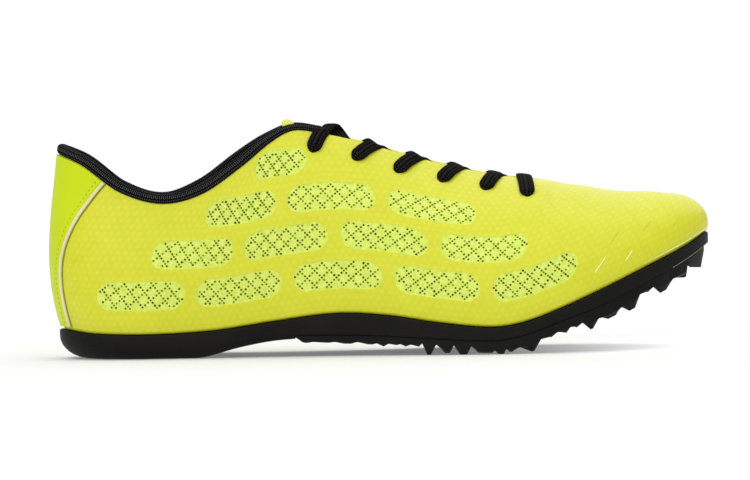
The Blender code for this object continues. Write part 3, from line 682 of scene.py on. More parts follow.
def surfaceLengths():
    # lengths along the surface at the grid of turns and rises, the mean of both sides
    along, upTo = 0.0, 0.0
    for side in bothSides:
        points = surface(loopAt(upperTurns, side)[:, None], upperRises[None, :])
        steps = np.linalg.norm(np.diff(points, axis=0), axis=2)
        along = along + np.concatenate([np.zeros((1, steps.shape[1])), np.cumsum(steps, axis=0)]) / 2
        steps = np.linalg.norm(np.diff(points, axis=1), axis=2)
        upTo = upTo + np.concatenate([np.zeros((steps.shape[0], 1)), np.cumsum(steps, axis=1)], axis=1) / 2
    middle = int(np.argmin(abs(upperTurns - float(turnAtX(0.0)))))
    return along - along[middle], upTo


uGrid, vGrid = surfaceLengths()


def uvAt(turn, rise):
    i = np.interp(turn, upperTurns, np.arange(len(upperTurns)))
    j = np.interp(rise, upperRises, np.arange(len(upperRises)))
    i0, j0 = (np.minimum(k.astype(int), n - 2) for k, n in ((i, uGrid.shape[0]), (j, uGrid.shape[1])))
    s, t = i - i0, j - j0
    found = []
    for grid in (uGrid, vGrid):
        low = grid[i0, j0] * (1 - s) + grid[i0 + 1, j0] * s
        high = grid[i0, j0 + 1] * (1 - s) + grid[i0 + 1, j0 + 1] * s
        found.append(low * (1 - t) + high * t)
    return found[0], found[1] + np.minimum(rise, 0.0) * 10


def placeAt(u, v):
    # turn and rise whose surface lengths are u and v
    turn, rise = turnAtX(u), np.clip(v / 80.0, 0.0, 1.0)
    step = 0.004
    for _ in range(14):
        uHere, vHere = uvAt(turn, rise)
        uSlope = (uvAt(np.minimum(turn + step, 1.0), rise)[0] - uvAt(turn - step, rise)[0]) / (2 * step)
        vSlope = (uvAt(turn, np.minimum(rise + step, 1.0))[1] - vHere) / step
        turn = np.clip(turn + (u - uHere) / np.maximum(uSlope, 50.0), 0.01, 0.99)
        rise = np.clip(rise + (v - vHere) / np.maximum(vSlope, 20.0), 0.0, 0.99)
    return turn, rise


def toSegment(u, v, start, end):
    start, end = np.array(start), np.array(end)
    d = end - start
    t = np.clip(((u - start[0]) * d[0] + (v - start[1]) * d[1]) / max(d @ d, 1e-9), 0.0, 1.0)
    return np.hypot(u - start[0] - t * d[0], v - start[1] - t * d[1])


def foldRelief(u, v):
    total = np.zeros_like(u)
    for fold in softFolds:
        away = toSegment(u, v, fold["start"], fold["end"]) / fold["width"]
        total += fold["depth"] * np.exp(-away * away)
    return total


def slotPlaces():
    rows = slots["rows"]
    for v, first, count, length in zip(rows["v"], rows["first"], rows["count"], rows["length"]):
        half = length / 2 - slots["halfHeight"]
        for k in range(count):
            middle = first + k * slots["pitch"]
            yield (middle - half, v), (middle + half, v)


def slotDistance(u, v):
    # negative inside a slot
    return np.min([toSegment(u, v, a, b) for a, b in slotPlaces()], axis=0) - slots["halfHeight"]


def filmPoint(loop, rise, out=0.0):
    u, v = uvAt(sideOf(loop)[0], rise)
    return shell(loop, rise, foldRelief(u, v) + out)


def placeEyelet(number, side):
    x, height = eyelets["x"][number], eyelets["height"][number]
    turn = float(turnAtX(x))
    rises = np.linspace(0.5, 1.0, 400)
    for _ in range(12):
        heights = surface(loopAt(turn, side), rises)[:, 2]
        rise = float(np.interp(height, heights, rises))
        there = surface(loopAt(turn, side), rise)
        turn += (x - there[0]) / (last["length"] * math.pi / 2)
    return float(loopAt(turn, side)), rise


eyeletPlaces = {(n, side): placeEyelet(n, side) for n in range(len(eyelets["x"])) for side in bothSides}


def eyeletDistance(points):
    found = np.full(len(points), 99.0)
    for loop, rise in eyeletPlaces.values():
        away = points - surface(loop, rise)
        facing = normal(loop, rise)
        flat = away - (away @ facing)[:, None] * facing
        near = np.linalg.norm(away, axis=1) < 8.0
        distance = np.linalg.norm(flat, axis=1) - upperMake["eyeletRadius"]
        found = np.where(near, np.minimum(found, distance), found)
    return found


def marginPoint(loop, rise, *columns):
    inset, height = (np.interp(rise, bottomEdge["rise"], bottomEdge[c]) for c in columns)
    point = offsetOutline(loop, toeFullness(sideOf(loop)[0]) - inset)
    point[:, 2] = featherHeight(point[:, 0]) + height
    return point


def outerPoints(turn, side, rise):
    loop = loopAt(turn, side)
    wall = filmPoint(loop, np.maximum(rise, 0.0))
    return np.where((rise < 0)[:, None], marginPoint(loop, rise, "inset", "height"), wall)


def innerPoints(turn, side, rise):
    loop = loopAt(turn, side)
    start = upperMake["innerStart"]
    wall = shell(loop, np.maximum(rise, start), -upperMake["wall"])
    margin = marginPoint(loop, rise, "innerInset", "innerHeight")
    share = np.clip(rise / start, 0.0, 1.0)[:, None]
    return margin * (1 - share) + wall * share


def loadSheet(points, layers, faces):
    work = bmesh.new()
    handles = {name: work.verts.layers.float.new(name) for name in layers}
    verts = [work.verts.new(p) for p in points]
    for name, values in layers.items():
        for vert, value in zip(verts, values):
            vert[handles[name]] = float(value)
    for face in faces:
        work.faces.new([verts[k] for k in face])
    return work, handles


def cutAlong(work, layer, nearShare=0.22):
    # makes edges where the layer's value is zero: near vertices slide onto the line, other edges are split
    others = [h for h in work.verts.layers.float.values() if h != layer]
    for edge in list(work.edges):
        a, b = edge.verts
        if a[layer] * b[layer] >= 0:
            continue
        share = a[layer] / (a[layer] - b[layer])
        if nearShare < share < 1 - nearShare:
            continue
        vert, target, t = (a, b, share) if share <= nearShare else (b, a, 1 - share)
        vert.co = vert.co.lerp(target.co, t)
        for other in others:
            vert[other] += (target[other] - vert[other]) * t
        vert[layer] = 0.0
    for edge in list(work.edges):
        a, b = edge.verts
        if a[layer] * b[layer] < 0:
            share = a[layer] / (a[layer] - b[layer])
            made = bmesh.utils.edge_split(edge, a, share)[1]
            made[layer] = 0.0
    for face in list(work.faces):
        crossing = [v for v in face.verts if v[layer] == 0.0]
        signs = {v[layer] > 0 for v in face.verts if v[layer] != 0.0}
        if len(signs) == 2 and len(crossing) >= 2:
            a, b = crossing[0], crossing[-1]
            if not any(b in e.verts for e in a.link_edges):
                bmesh.utils.face_split(face, a, b)


def facesInside(work, layer):
    return [f for f in work.faces if sum(v[layer] for v in f.verts) < -1e-6]


def sheetArrays(work, handles):
    work.verts.index_update()
    points = np.array([v.co for v in work.verts])
    layers = {name: np.array([v[h] for v in work.verts]) for name, h in handles.items()}
    return points, layers, [[v.index for v in f.verts] for f in work.faces]


def upperGrid():
    rises = np.concatenate([np.array(bottomEdge["rise"][:-1]), upperRises])
    columns, rows = len(upperTurns), len(rises)
    first = np.arange(columns * rows).reshape(columns, rows)
    second = first + columns * rows
    second[0], second[-1] = first[0], first[-1]
    second[throatColumn:, -1] = first[throatColumn:, -1]
    used, index = np.unique(np.concatenate([first.ravel(), second.ravel()]), return_inverse=True)
    first, second = index.reshape(2, columns, rows)
    turn = np.tile(np.repeat(upperTurns, rows), 2)[used]
    rise = np.tile(rises, 2 * columns)[used]
    side = np.repeat([outer, inner], columns * rows)[used]
    faces = []
    for grid, flip in ((first, False), (second, True)):
        for i in range(columns - 1):
            for j in range(rows - 1):
                face = [grid[i, j], grid[i + 1, j], grid[i + 1, j + 1], grid[i, j + 1]]
                faces.append(face[::-1] if flip else face)
    return turn, rise, side, faces


def rimOf(faces, points, normals):
    # open edges of a sheet, in order of their faces, and the direction off the sheet at their points
    seen = {}
    for face in faces:
        for a, b in zip(face, face[1:] + face[:1]):
            seen[(a, b)] = seen.get((a, b), 0) + 1
    rim = [(a, b) for a, b in seen if (b, a) not in seen]
    off = np.zeros_like(points)
    for a, b in rim:
        away = np.cross(points[b] - points[a], normals[a])
        off[a] += away
        off[b] += away
    return rim, unit(off)


def buildUpper():
    turn, rise, side, faces = upperGrid()
    points = outerPoints(turn, side, rise)
    layers = {"turn": turn, "rise": rise, "side": side, "hole": eyeletDistance(points)}
    work, handles = loadSheet(points, layers, faces)
    cutAlong(work, handles["hole"])
    bmesh.ops.delete(work, geom=facesInside(work, handles["hole"]), context="FACES")
    points, layers, faces = sheetArrays(work, handles)
    work.free()
    turn, rise, side = layers["turn"], layers["rise"], np.sign(layers["side"])
    inside = innerPoints(turn, side, rise)
    rim, off = rimOf(faces, points, normal(loopAt(turn, side), np.maximum(rise, 0.0)))
    count = len(points)
    ends = sorted({k for edge in rim for k in edge})
    place = {k: n for n, k in enumerate(ends)}
    blocks = [points, inside]
    steps = upperMake["rimRows"]
    for step in range(1, steps + 1):
        angle = math.pi * step / (steps + 1)
        middle, half = (points[ends] + inside[ends]) / 2, (points[ends] - inside[ends]) / 2
        bulge = upperMake["rimBulge"] * math.sin(angle)
        blocks.append(middle + half * math.cos(angle) + off[ends] * bulge)
    solidFaces = faces + [[k + count for k in face[::-1]] for face in faces]
    kinds = [filmKind] * len(faces) + [liningKind] * len(faces)
    for edge in rim:
        down = []
        for k in edge:
            rimPoints = [2 * count + s * len(ends) + place[k] for s in range(steps)]
            down.append([k] + rimPoints + [k + count])
        for s in range(steps + 1):
            solidFaces.append([down[1][s], down[0][s], down[0][s + 1], down[1][s + 1]])
            kinds.append(filmKind if s < steps else liningKind)
    everything = np.concatenate(blocks)
    repeat = np.concatenate([np.arange(count), np.arange(count)] + [np.array(ends)] * steps)
    u, v = uvAt(turn, rise)
    window = np.full(len(everything), upperMake["farAway"])
    window[:count] = np.where(rise > 0, slotDistance(u, v), upperMake["farAway"])
    work, handles = loadSheet(everything, {"u": u[repeat], "v": v[repeat], "window": window}, solidFaces)
    work.faces.ensure_lookup_table()
    for face, kind in zip(work.faces, kinds):
        face.material_index = kind
    cutAlong(work, handles["window"])
    windows = [f for f in facesInside(work, handles["window"]) if f.material_index == filmKind]
    for face in windows:
        face.material_index = meshKind
    work.normal_update()
    bmesh.ops.inset_region(work, faces=windows, thickness=slots["bevel"], depth=-slots["recess"],
                           use_even_offset=True)
    uvLayer = work.loops.layers.uv.new("film")
    for face in work.faces:
        for corner in face.loops:
            corner[uvLayer].uv = (corner.vert[handles["u"]], corner.vert[handles["v"]])
    bmesh.ops.scale(work, vec=(mm, mm, mm), verts=work.verts)
    mesh = bpy.data.meshes.new("upper_shell")
    work.to_mesh(mesh)
    work.free()
    for material in (film, paleMesh, lining):
        mesh.materials.append(material)
    finishPiece("upper_shell", mesh, ["upper"], 45.0)


buildUpper()


# Geometry Nodes helpers
def startTree(name, inputs):
    tree = bpy.data.node_groups.new(name, "GeometryNodeTree")
    addInputs(tree, [("Geometry", "NodeSocketGeometry", None), *inputs])
    tree.interface.new_socket("Geometry", in_out="OUTPUT", socket_type="NodeSocketGeometry")
    return tree, tree.nodes.new("NodeGroupInput").outputs, tree.nodes.new("NodeGroupOutput").inputs


def endTree(tree, geometry, given, result):
    real = addNode(tree, "GeometryNodeRealizeInstances", {"Geometry": geometry})
    painted = addNode(tree, "GeometryNodeSetMaterial", {
        "Geometry": real.outputs[0], "Material": given["Material"]})
    tree.links.new(painted.outputs[0], result["Geometry"])
    return tree


def socketOf(node, name):
    return next(s for s in node.inputs if s.enabled and s.name == name)


def randomValue(tree, seed, low=0.0, high=1.0):
    node = addNode(tree, "FunctionNodeRandomValue", {"Seed": seed}, data_type="FLOAT")
    socketOf(node, "Min").default_value = low
    socketOf(node, "Max").default_value = high
    return next(s for s in node.outputs if s.enabled)


def bakePiece(piece, tree, values, smooth=True):
    # runs the tree once and keeps what it makes as the piece's own mesh
    modifier = piece.modifiers.new(tree.name, "NODES")
    modifier.node_group = tree
    for item in tree.interface.items_tree:
        if item.item_type == "SOCKET" and item.in_out == "INPUT" and item.name in values:
            modifier[item.identifier] = values[item.name]
    bpy.context.view_layer.update()
    evaluated = piece.evaluated_get(bpy.context.evaluated_depsgraph_get())
    mesh = bpy.data.meshes.new_from_object(evaluated)
    piece.modifiers.remove(modifier)
    piece.data = mesh
    if smooth:
        mesh.shade_smooth()
    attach(piece, "root")
    print(piece.name, len(mesh.polygons), "faces")


# Open knit in the slots: groups of five holes on a slanted square lattice
meshHoles = {
    "pitch": 4.38,
    "turn": 41.0,
    "arm": 1.37,
    "radius": 0.48,
    "margin": 0.7,
    "lift": 0.03,
    "sides": 8,
    "smallest": 0.85,
    "largest": 1.12,
    "seed": 7,
    "steps": 60,
    "uLimit": 140.0,
    "vLimit": 90.0,
}


def holePlaces():
    angle = math.radians(meshHoles["turn"])
    axes = np.array([(math.cos(angle), math.sin(angle)), (-math.sin(angle), math.cos(angle))])
    steps = np.arange(-meshHoles["steps"], meshHoles["steps"] + 1)
    i, j = (g.ravel() for g in np.meshgrid(steps, steps))
    centres = (i[:, None] * axes[0] + j[:, None] * axes[1]) * meshHoles["pitch"]
    arms = np.concatenate([np.zeros((1, 2)), axes, -axes]) * meshHoles["arm"]
    spots = (centres[:, None, :] + arms[None]).reshape(-1, 2)
    u, v = spots.T
    spots = spots[(abs(u) < meshHoles["uLimit"]) & (v > 0) & (v < meshHoles["vLimit"])]
    return spots[slotDistance(*spots.T) < -meshHoles["margin"]]


def perforationTree():
    tree, given, result = startTree("perforations", [
        ("Radius", "NodeSocketFloat", 0.0004), ("Sides", "NodeSocketInt", 8),
        ("Seed", "NodeSocketInt", 1), ("Material", "NodeSocketMaterial", None)])
    disc = addNode(tree, "GeometryNodeMeshCircle", {"Vertices": given["Sides"], "Radius": given["Radius"]},
                   fill_type="NGON")
    facing = addNode(tree, "GeometryNodeInputNamedAttribute", {"Name": "facing"}, data_type="FLOAT_VECTOR")
    turned = addNode(tree, "FunctionNodeAlignRotationToVector", {"Vector": facing.outputs[0]}, axis="Z")
    size = randomValue(tree, given["Seed"], meshHoles["smallest"], meshHoles["largest"])
    placed = addNode(tree, "GeometryNodeInstanceOnPoints", {
        "Points": given["Geometry"], "Instance": disc.outputs["Mesh"], "Rotation": turned.outputs[0],
        "Scale": size})
    shade = randomValue(tree, math2(tree, "ADD", given["Seed"], 1.0))
    stored = addNode(tree, "GeometryNodeStoreNamedAttribute", {
        "Geometry": placed.outputs[0], "Name": "holeShade"}, data_type="FLOAT", domain="INSTANCE")
    tree.links.new(shade, socketOf(stored, "Value"))
    return endTree(tree, stored.outputs[0], given, result)


def pointsPiece(name, points, facing):
    mesh = bpy.data.meshes.new(name)
    mesh.from_pydata((points * mm).tolist(), [], [])
    attribute = mesh.attributes.new("facing", "FLOAT_VECTOR", "POINT")
    attribute.data.foreach_set("vector", np.asarray(facing, np.float32).ravel())
    return addObject(name, mesh)


def buildMeshHoles():
    spots = holePlaces()
    turn, rise = placeAt(*spots.T)
    points, facing = [], []
    for side in bothSides:
        loop = loopAt(turn, side)
        points.append(filmPoint(loop, rise, meshHoles["lift"] - slots["recess"]))
        facing.append(normal(loop, rise))
    piece = pointsPiece("mesh_holes", np.concatenate(points), np.concatenate(facing))
    bakePiece(piece, perforationTree(), {
        "Radius": meshHoles["radius"] * mm, "Sides": meshHoles["sides"], "Seed": meshHoles["seed"],
        "Material": holeDark}, smooth=False)


buildMeshHoles()

# Heel counter with its piping and stitching
counterEdge = {
    "rise": [0.0, 0.17, 0.34, 0.48, 0.64, 0.80, 1.0],
    "turn": [0.073, 0.069, 0.071, 0.084, 0.109, 0.138, 0.170],
}
counter = {
    "top": 0.996,
    "rows": 60,
    "columns": 44,
    "back": 0.05,
    "edgeOut": 0.30,
    "fullOut": 1.25,
    "edgeWidth": 1.4,
    "pipingWidth": 1.4,
    "pipingHeight": 1.3,
    "pipingOut": 0.55,
    "pipingInset": -0.2,
    "pipingSides": 12,
    "pipingPoints": 70,
    "stitchInset": 2.3,
    "stitchStep": 2.1,
    "stitchSink": 0.05,
    "stitchLength": 1.1,
    "stitchThickness": 0.55,
    "stitchPoints": 90,
    # painted shadow line beside the piping: its place, lift off the film and radius
    "shadowInset": -1.25,
    "shadowOut": 0.02,
    "shadowRadius": 0.3,
}


def buildCounter():
    rises = counter["top"] * np.linspace(0, 1, counter["rows"] + 1)
    shares = np.linspace(-1, 1, 2 * counter["columns"] + 1)
    loops = follow(counterEdge, "turn", rises)[:, None] * shares[None]
    rise = np.broadcast_to(rises[:, None], loops.shape)
    plain = surface(loops, rise)
    fromEdge = np.linalg.norm(plain - plain[:, :1], axis=2)
    fromEdge = np.minimum(fromEdge, np.linalg.norm(plain - plain[:, -1:], axis=2))
    lift = roundEnd(fromEdge / counter["edgeWidth"])
    out = counter["edgeOut"] + (counter["fullOut"] - counter["edgeOut"]) * lift
    facing = normal(loops, rise)
    front = plain + facing * out[..., None]
    back = plain + facing * counter["back"]
    mesh = sheetMesh("counter_overlay", front, back, counterFinish)
    finishPiece("counter_overlay", mesh, ["heel_counter"], 50.0)


def roundedSection(centre, across, above, width, height, sides, fullness=0.7):
    angles = 2 * np.pi * (np.arange(sides) + 0.5) / sides
    c, s = np.cos(angles), np.sin(angles)
    x = np.sign(c) * abs(c) ** fullness / 2
    y = np.sign(s) * abs(s) ** fullness / 2
    width, height = np.asarray(width, float), np.asarray(height, float)
    return (
        centre[:, None, :]
        + across[:, None, :] * (x * width.reshape(-1, 1))[..., None]
        + above[:, None, :] * (y * height.reshape(-1, 1))[..., None]
    )


def tubeMesh(name, sections, material, lengths):
    # closed strip through sections of points, with a map of millimetres along and around
    count, sides = sections.shape[:2]
    points = sections.reshape(-1, 3)
    faces = gridFaces(count, sides, wrap=True)
    faces += [tuple(range(sides)), tuple(range((count - 1) * sides, count * sides))]
    girth = np.linalg.norm(np.diff(sections, axis=1, append=sections[:, :1]), axis=2).sum(1).max()
    around = np.abs(2 * np.arange(sides) / sides - 1) * girth / 2
    uv = np.stack(np.broadcast_arrays(lengths[:, None], around[None]), -1).reshape(-1, 2)
    return closedMesh(name, points, faces, [material], uv)


def pathLengths(path):
    return np.concatenate([[0.0], np.cumsum(np.linalg.norm(np.diff(path, axis=0), axis=1))])


def counterLine(side, inset, out, count):
    rises = np.linspace(0.0, counter["top"], count)
    loops = follow(counterEdge, "turn", rises) * -side
    step = 0.002
    speed = np.linalg.norm(surface(loops + step, rises) - surface(loops - step, rises), axis=1) / (2 * step)
    loops = loops + side * inset / speed
    return shell(loops, rises, out), normal(loops, rises)


def buildPiping():
    for side, label in ((outer, "outer"), (inner, "inner")):
        count = counter["pipingPoints"]
        path, facing = counterLine(side, counter["pipingInset"], counter["pipingOut"], count)
        along = unit(np.gradient(path, axis=0))
        across = unit(np.cross(along, facing))
        sections = roundedSection(path, across, facing, counter["pipingWidth"], counter["pipingHeight"],
                                  counter["pipingSides"])
        mesh = tubeMesh(f"counter_piping_{label}", sections, pipingFinish, pathLengths(path))
        finishPiece(f"counter_piping_{label}", mesh)


def lineTree():
    tree, given, result = startTree("thinLine", [
        ("Radius", "NodeSocketFloat", 0.0003), ("Sides", "NodeSocketInt", 8),
        ("Material", "NodeSocketMaterial", None)])
    curve = addNode(tree, "GeometryNodeMeshToCurve", {"Mesh": given["Geometry"]})
    ring = addNode(tree, "GeometryNodeCurvePrimitiveCircle", {
        "Resolution": given["Sides"], "Radius": given["Radius"]})
    tube = addNode(tree, "GeometryNodeCurveToMesh", {
        "Curve": curve.outputs[0], "Profile Curve": ring.outputs[0], "Fill Caps": True})
    return endTree(tree, tube.outputs[0], given, result)


def pathsPiece(name, paths):
    points, edges = [], []
    for path in paths:
        start = sum(len(p) for p in points)
        edges += [(start + k, start + k + 1) for k in range(len(path) - 1)]
        points.append(path)
    mesh = bpy.data.meshes.new(name)
    mesh.from_pydata((np.concatenate(points) * mm).tolist(), edges, [])
    return addObject(name, mesh)


thinLine = lineTree()


def buildLines(name, paths, radius, material, sides=8):
    bakePiece(pathsPiece(name, paths), thinLine, {
        "Radius": radius * mm, "Sides": sides, "Material": material})


def stitchTree():
    tree, given, result = startTree("stitchRow", [
        ("Step", "NodeSocketFloat", 0.002), ("Length", "NodeSocketFloat", 0.001),
        ("Thickness", "NodeSocketFloat", 0.0005), ("Material", "NodeSocketMaterial", None)])
    curve = addNode(tree, "GeometryNodeMeshToCurve", {"Mesh": given["Geometry"]})
    spaced = addNode(tree, "GeometryNodeResampleCurve", {
        "Curve": curve.outputs[0], "Length": given["Step"]}, mode="LENGTH")
    bead = addNode(tree, "GeometryNodeMeshUVSphere", {"Segments": 6, "Rings": 4, "Radius": 0.5})
    size = addNode(tree, "ShaderNodeCombineXYZ", {"X": given["Thickness"], "Y": given["Thickness"],
                                                  "Z": given["Length"]})
    tangent = tree.nodes.new("GeometryNodeInputTangent")
    turned = addNode(tree, "FunctionNodeAlignRotationToVector", {"Vector": tangent.outputs[0]}, axis="Z")
    placed = addNode(tree, "GeometryNodeInstanceOnPoints", {
        "Points": spaced.outputs[0], "Instance": bead.outputs["Mesh"], "Rotation": turned.outputs[0],
        "Scale": size.outputs[0]})
    return endTree(tree, placed.outputs[0], given, result)


def buildStitches():
    out = counter["fullOut"] - counter["stitchSink"]
    count = counter["stitchPoints"]
    paths = [counterLine(side, counter["stitchInset"], out, count)[0] for side in bothSides]
    bakePiece(pathsPiece("counter_stitches", paths), stitchTree(), {
        "Step": counter["stitchStep"] * mm, "Length": counter["stitchLength"] * mm,
        "Thickness": counter["stitchThickness"] * mm, "Material": stitchFinish})


# Fine marks on the vamp, from start to end along the surface, and a thin pale line along the film's bottom
# edge round the toe
vampMarks = {
    "pale": [((96.1, 6.8), (100.9, 11.0)), ((110.9, 5.4), (114.0, 8.2))],
    "dark": [((103.0, 15.6), (107.2, 20.0)), ((118.6, 14.0), (122.0, 16.8)), ((134.3, 9.7), (137.5, 11.7))],
    "points": 12,
    "paleRadius": 0.24,
    "darkRadius": 0.12,
    "edgeFromX": 112.0,
    "edgeFade": 18.0,
    "edgeRadius": 0.2,
    "edgeRise": 0.004,
    "edgePoints": 161,
}


def markPaths(marks):
    paths = []
    for start, end in marks:
        u, v = (np.linspace(a, b, vampMarks["points"]) for a, b in zip(start, end))
        turn, rise = placeAt(u, v)
        paths += [filmPoint(loopAt(turn, side), rise) for side in bothSides]
    return paths


def buildMarks():
    buildLines("vamp_marks", markPaths(vampMarks["pale"]), vampMarks["paleRadius"], paleLineFinish)
    buildLines("vamp_dark_lines", markPaths(vampMarks["dark"]), vampMarks["darkRadius"], darkLineFinish)
    start = float(turnAtX(vampMarks["edgeFromX"]))
    loops = np.linspace(start, 2 - start, vampMarks["edgePoints"])
    sunk = 1 - ease((outline(loops)[:, 0] - vampMarks["edgeFromX"]) / vampMarks["edgeFade"])
    path = filmPoint(loops, np.full_like(loops, vampMarks["edgeRise"]), -vampMarks["edgeRadius"] * sunk)
    buildLines("toe_film_edge", [path], vampMarks["edgeRadius"], paleLineFinish)
    # a thin dark line beside each piping is painted shadow where the film meets the piping
    shadowAlong = (counter["shadowInset"], counter["shadowOut"], counter["pipingPoints"])
    shadowPaths = [counterLine(side, *shadowAlong)[0] for side in bothSides]
    buildLines("counter_piping_shadow", shadowPaths, counter["shadowRadius"], pipingShadowFinish)


buildCounter()
buildPiping()
buildStitches()
buildMarks()

# Collar binding: a knit roll that thins towards the laces
binding = {
    "endX": -24.0,
    "step": 1.1,
    "width": 4.4,
    "height": 4.6,
    "thinWidth": 3.4,
    "thinHeight": 3.9,
    "thinFromX": -50.0,
    "thinLength": 15.0,
    "overlap": 0.2,
    "sides": 20,
    "fullness": 0.8,
}


def buildBinding():
    turns = evenTurns(binding["step"], 0.0, float(turnAtX(binding["endX"])))
    loops = np.concatenate([turns[::-1], -turns[1:]])
    step = last["smallTurn"]
    facing = normal(loops, np.ones_like(loops))
    along = unit(surface(loops + step, 1.0) - surface(loops - step, 1.0))
    above = unit(np.cross(along, facing))
    above = np.where(above[:, 2:3] > 0, above, -above)
    edge = shell(loops, np.ones_like(loops), -upperMake["wall"] / 2)
    thin = ease((edge[:, 0] - binding["thinFromX"]) / binding["thinLength"])
    width = binding["width"] + (binding["thinWidth"] - binding["width"]) * thin
    height = binding["height"] + (binding["thinHeight"] - binding["height"]) * thin
    centre = edge + above * (height / 2 - binding["overlap"])[:, None]
    sections = roundedSection(centre, facing, above, width, height, binding["sides"], binding["fullness"])
    mesh = tubeMesh("collar_roll", sections, bindingFinish, pathLengths(centre))
    finishPiece("collar_roll", mesh, ["collar_binding"])


buildBinding()

# Tongue: a thin padded sheet under the slit
tongue = {
    "thickness": 2.0,
    "clear": 0.9,
    "sink": 1.5,
    "frontTurn": 0.05,
    "topX": -39.6,
    "freeX": 5.0,
    "freeLength": 27.0,
    "freeWidth": 0.7,
    "rise": 7.0,
    "riseX": -29.5,
    "riseLength": 9.0,
    "reaches": (0.84, 0.90, 0.96),
    "rows": 90,
    "columns": 37,
}


def tongueRows(turns, extra):
    # rows of points across the tongue, this much further down than its top face
    shares = np.linspace(-1, 1, tongue["columns"])
    near = tongue["reaches"][::-1]
    place = np.interp(abs(shares) * 3, [0, 1, 2, 3], [near[0], *near])
    part = np.clip(abs(shares) * 3, 0.0, 1.0)[None, :, None]
    high = upperMake["wall"] + tongue["clear"] + extra
    x = topX(turns)
    free = ease((tongue["freeX"] - x) / tongue["freeLength"])
    depth = high + tongue["sink"] * (1 - free)
    edges = [shell(loopAt(turns, side), 1.0, -depth)[:, None] for side in bothSides]
    middle = (edges[0] + edges[1]) / 2
    loops = loopAt(turns[:, None], np.where(shares < 0, outer, inner)[None])
    under = shell(loops, place[None], -np.broadcast_to(depth[:, None], loops.shape))
    under = middle * (1 - part) + under * part
    away = shares[None, :, None]
    lift = tongue["rise"] * ease((tongue["riseX"] - x) / tongue["riseLength"])
    loose = middle + (edges[1] - edges[0]) * (away * tongue["freeWidth"] / 2)
    loose = loose + upward * (1 - away * away) * lift[:, None, None]
    free = free[:, None, None]
    return under * (1 - free) + loose * free


def buildTongue():
    first, end = float(turnAtX(tongue["topX"])), throatTurn + tongue["frontTurn"]
    turns = np.linspace(first, end, tongue["rows"])
    top, below = tongueRows(turns, 0.0), tongueRows(turns, tongue["thickness"])
    uv = np.tile(top.reshape(-1, 3)[:, :2], (2, 1))
    mesh = sheetMesh("tongue_sheet", top, below, film, uv, "film")
    finishPiece("tongue_sheet", mesh, ["tongue"], 60.0)


buildTongue()

# Lace: one flat woven band from top eyelet to top eyelet
lace = {
    "width": 6.6,
    "thickness": 1.7,
    "holeWidth": 3.4,
    "holeThickness": 2.6,
    "stand": 0.95,
    "edgeLift": -0.5,
    "edgeShare": 0.36,
    "startShare": 0.90,
    "topStartShare": 0.76,
    "topEdgeShare": 0.17,
    "startInset": 0.8,
    "startDepth": 2.6,
    "crown": -0.9,
    "topCrown": 4.9,
    "apart": 0.8,
    "barLean": 1.6,
    "barSink": 0.3,
    "middleStand": 0.15,
    "underDepth": 3.3,
    "underBack": -0.4,
    "underWidth": 4.4,
    "underThickness": 2.2,
    "underShare": 0.6,
    "endDepth": 4.2,
    "sides": 16,
    "fullness": 0.75,
    "samples": 9,
}
# Way through an eyelet: place along the lace and off the film, then parts of the film's normal and of the
# lace's own direction that its face looks to, then its width and thickness
lacePlunge = {
    "along": [-3.0, -1.5, -0.3, 0.45, 0.3],
    "out": [0.95, 0.95, 0.7125, 0.0, -1.4],
    "off": [1.0, 1.0, 1.0, 0.3, 0.0],
    "ahead": [0.0, 0.0, 0.5, 1.0, 1.0],
    "width": [6.6, 6.5, 5.8, 4.2, 3.4],
    "thickness": [1.7, 1.7, 1.7, 1.7, 2.6],
}


def lacePoint(place, facing, width=None, thickness=None):
    return np.concatenate([place, facing, [width or lace["width"], thickness or lace["thickness"]]])


def plunge(number, side, sign, travel, lastOne):
    # over the rim, down through the eyelet and back under the flap
    loop, rise = eyeletPlaces[number, side]
    facing = normal(loop, rise)
    made = []
    for along, out, off, ahead, width, thickness in zip(*lacePlunge.values()):
        place = shell(loop, rise, out) + travel * along
        made.append(lacePoint(place, sign * unit(facing * off + travel * ahead), width, thickness))
    if lastOne:
        end = shell(loop, rise, -lace["endDepth"])
        made.append(lacePoint(end, sign * travel, lace["holeWidth"], lace["holeThickness"]))
    else:
        end = shell(loop, rise, -lace["underDepth"]) + travel * lace["underBack"]
        made.append(lacePoint(end, sign * unit(travel - facing), lace["underWidth"], lace["underThickness"]))
    return made


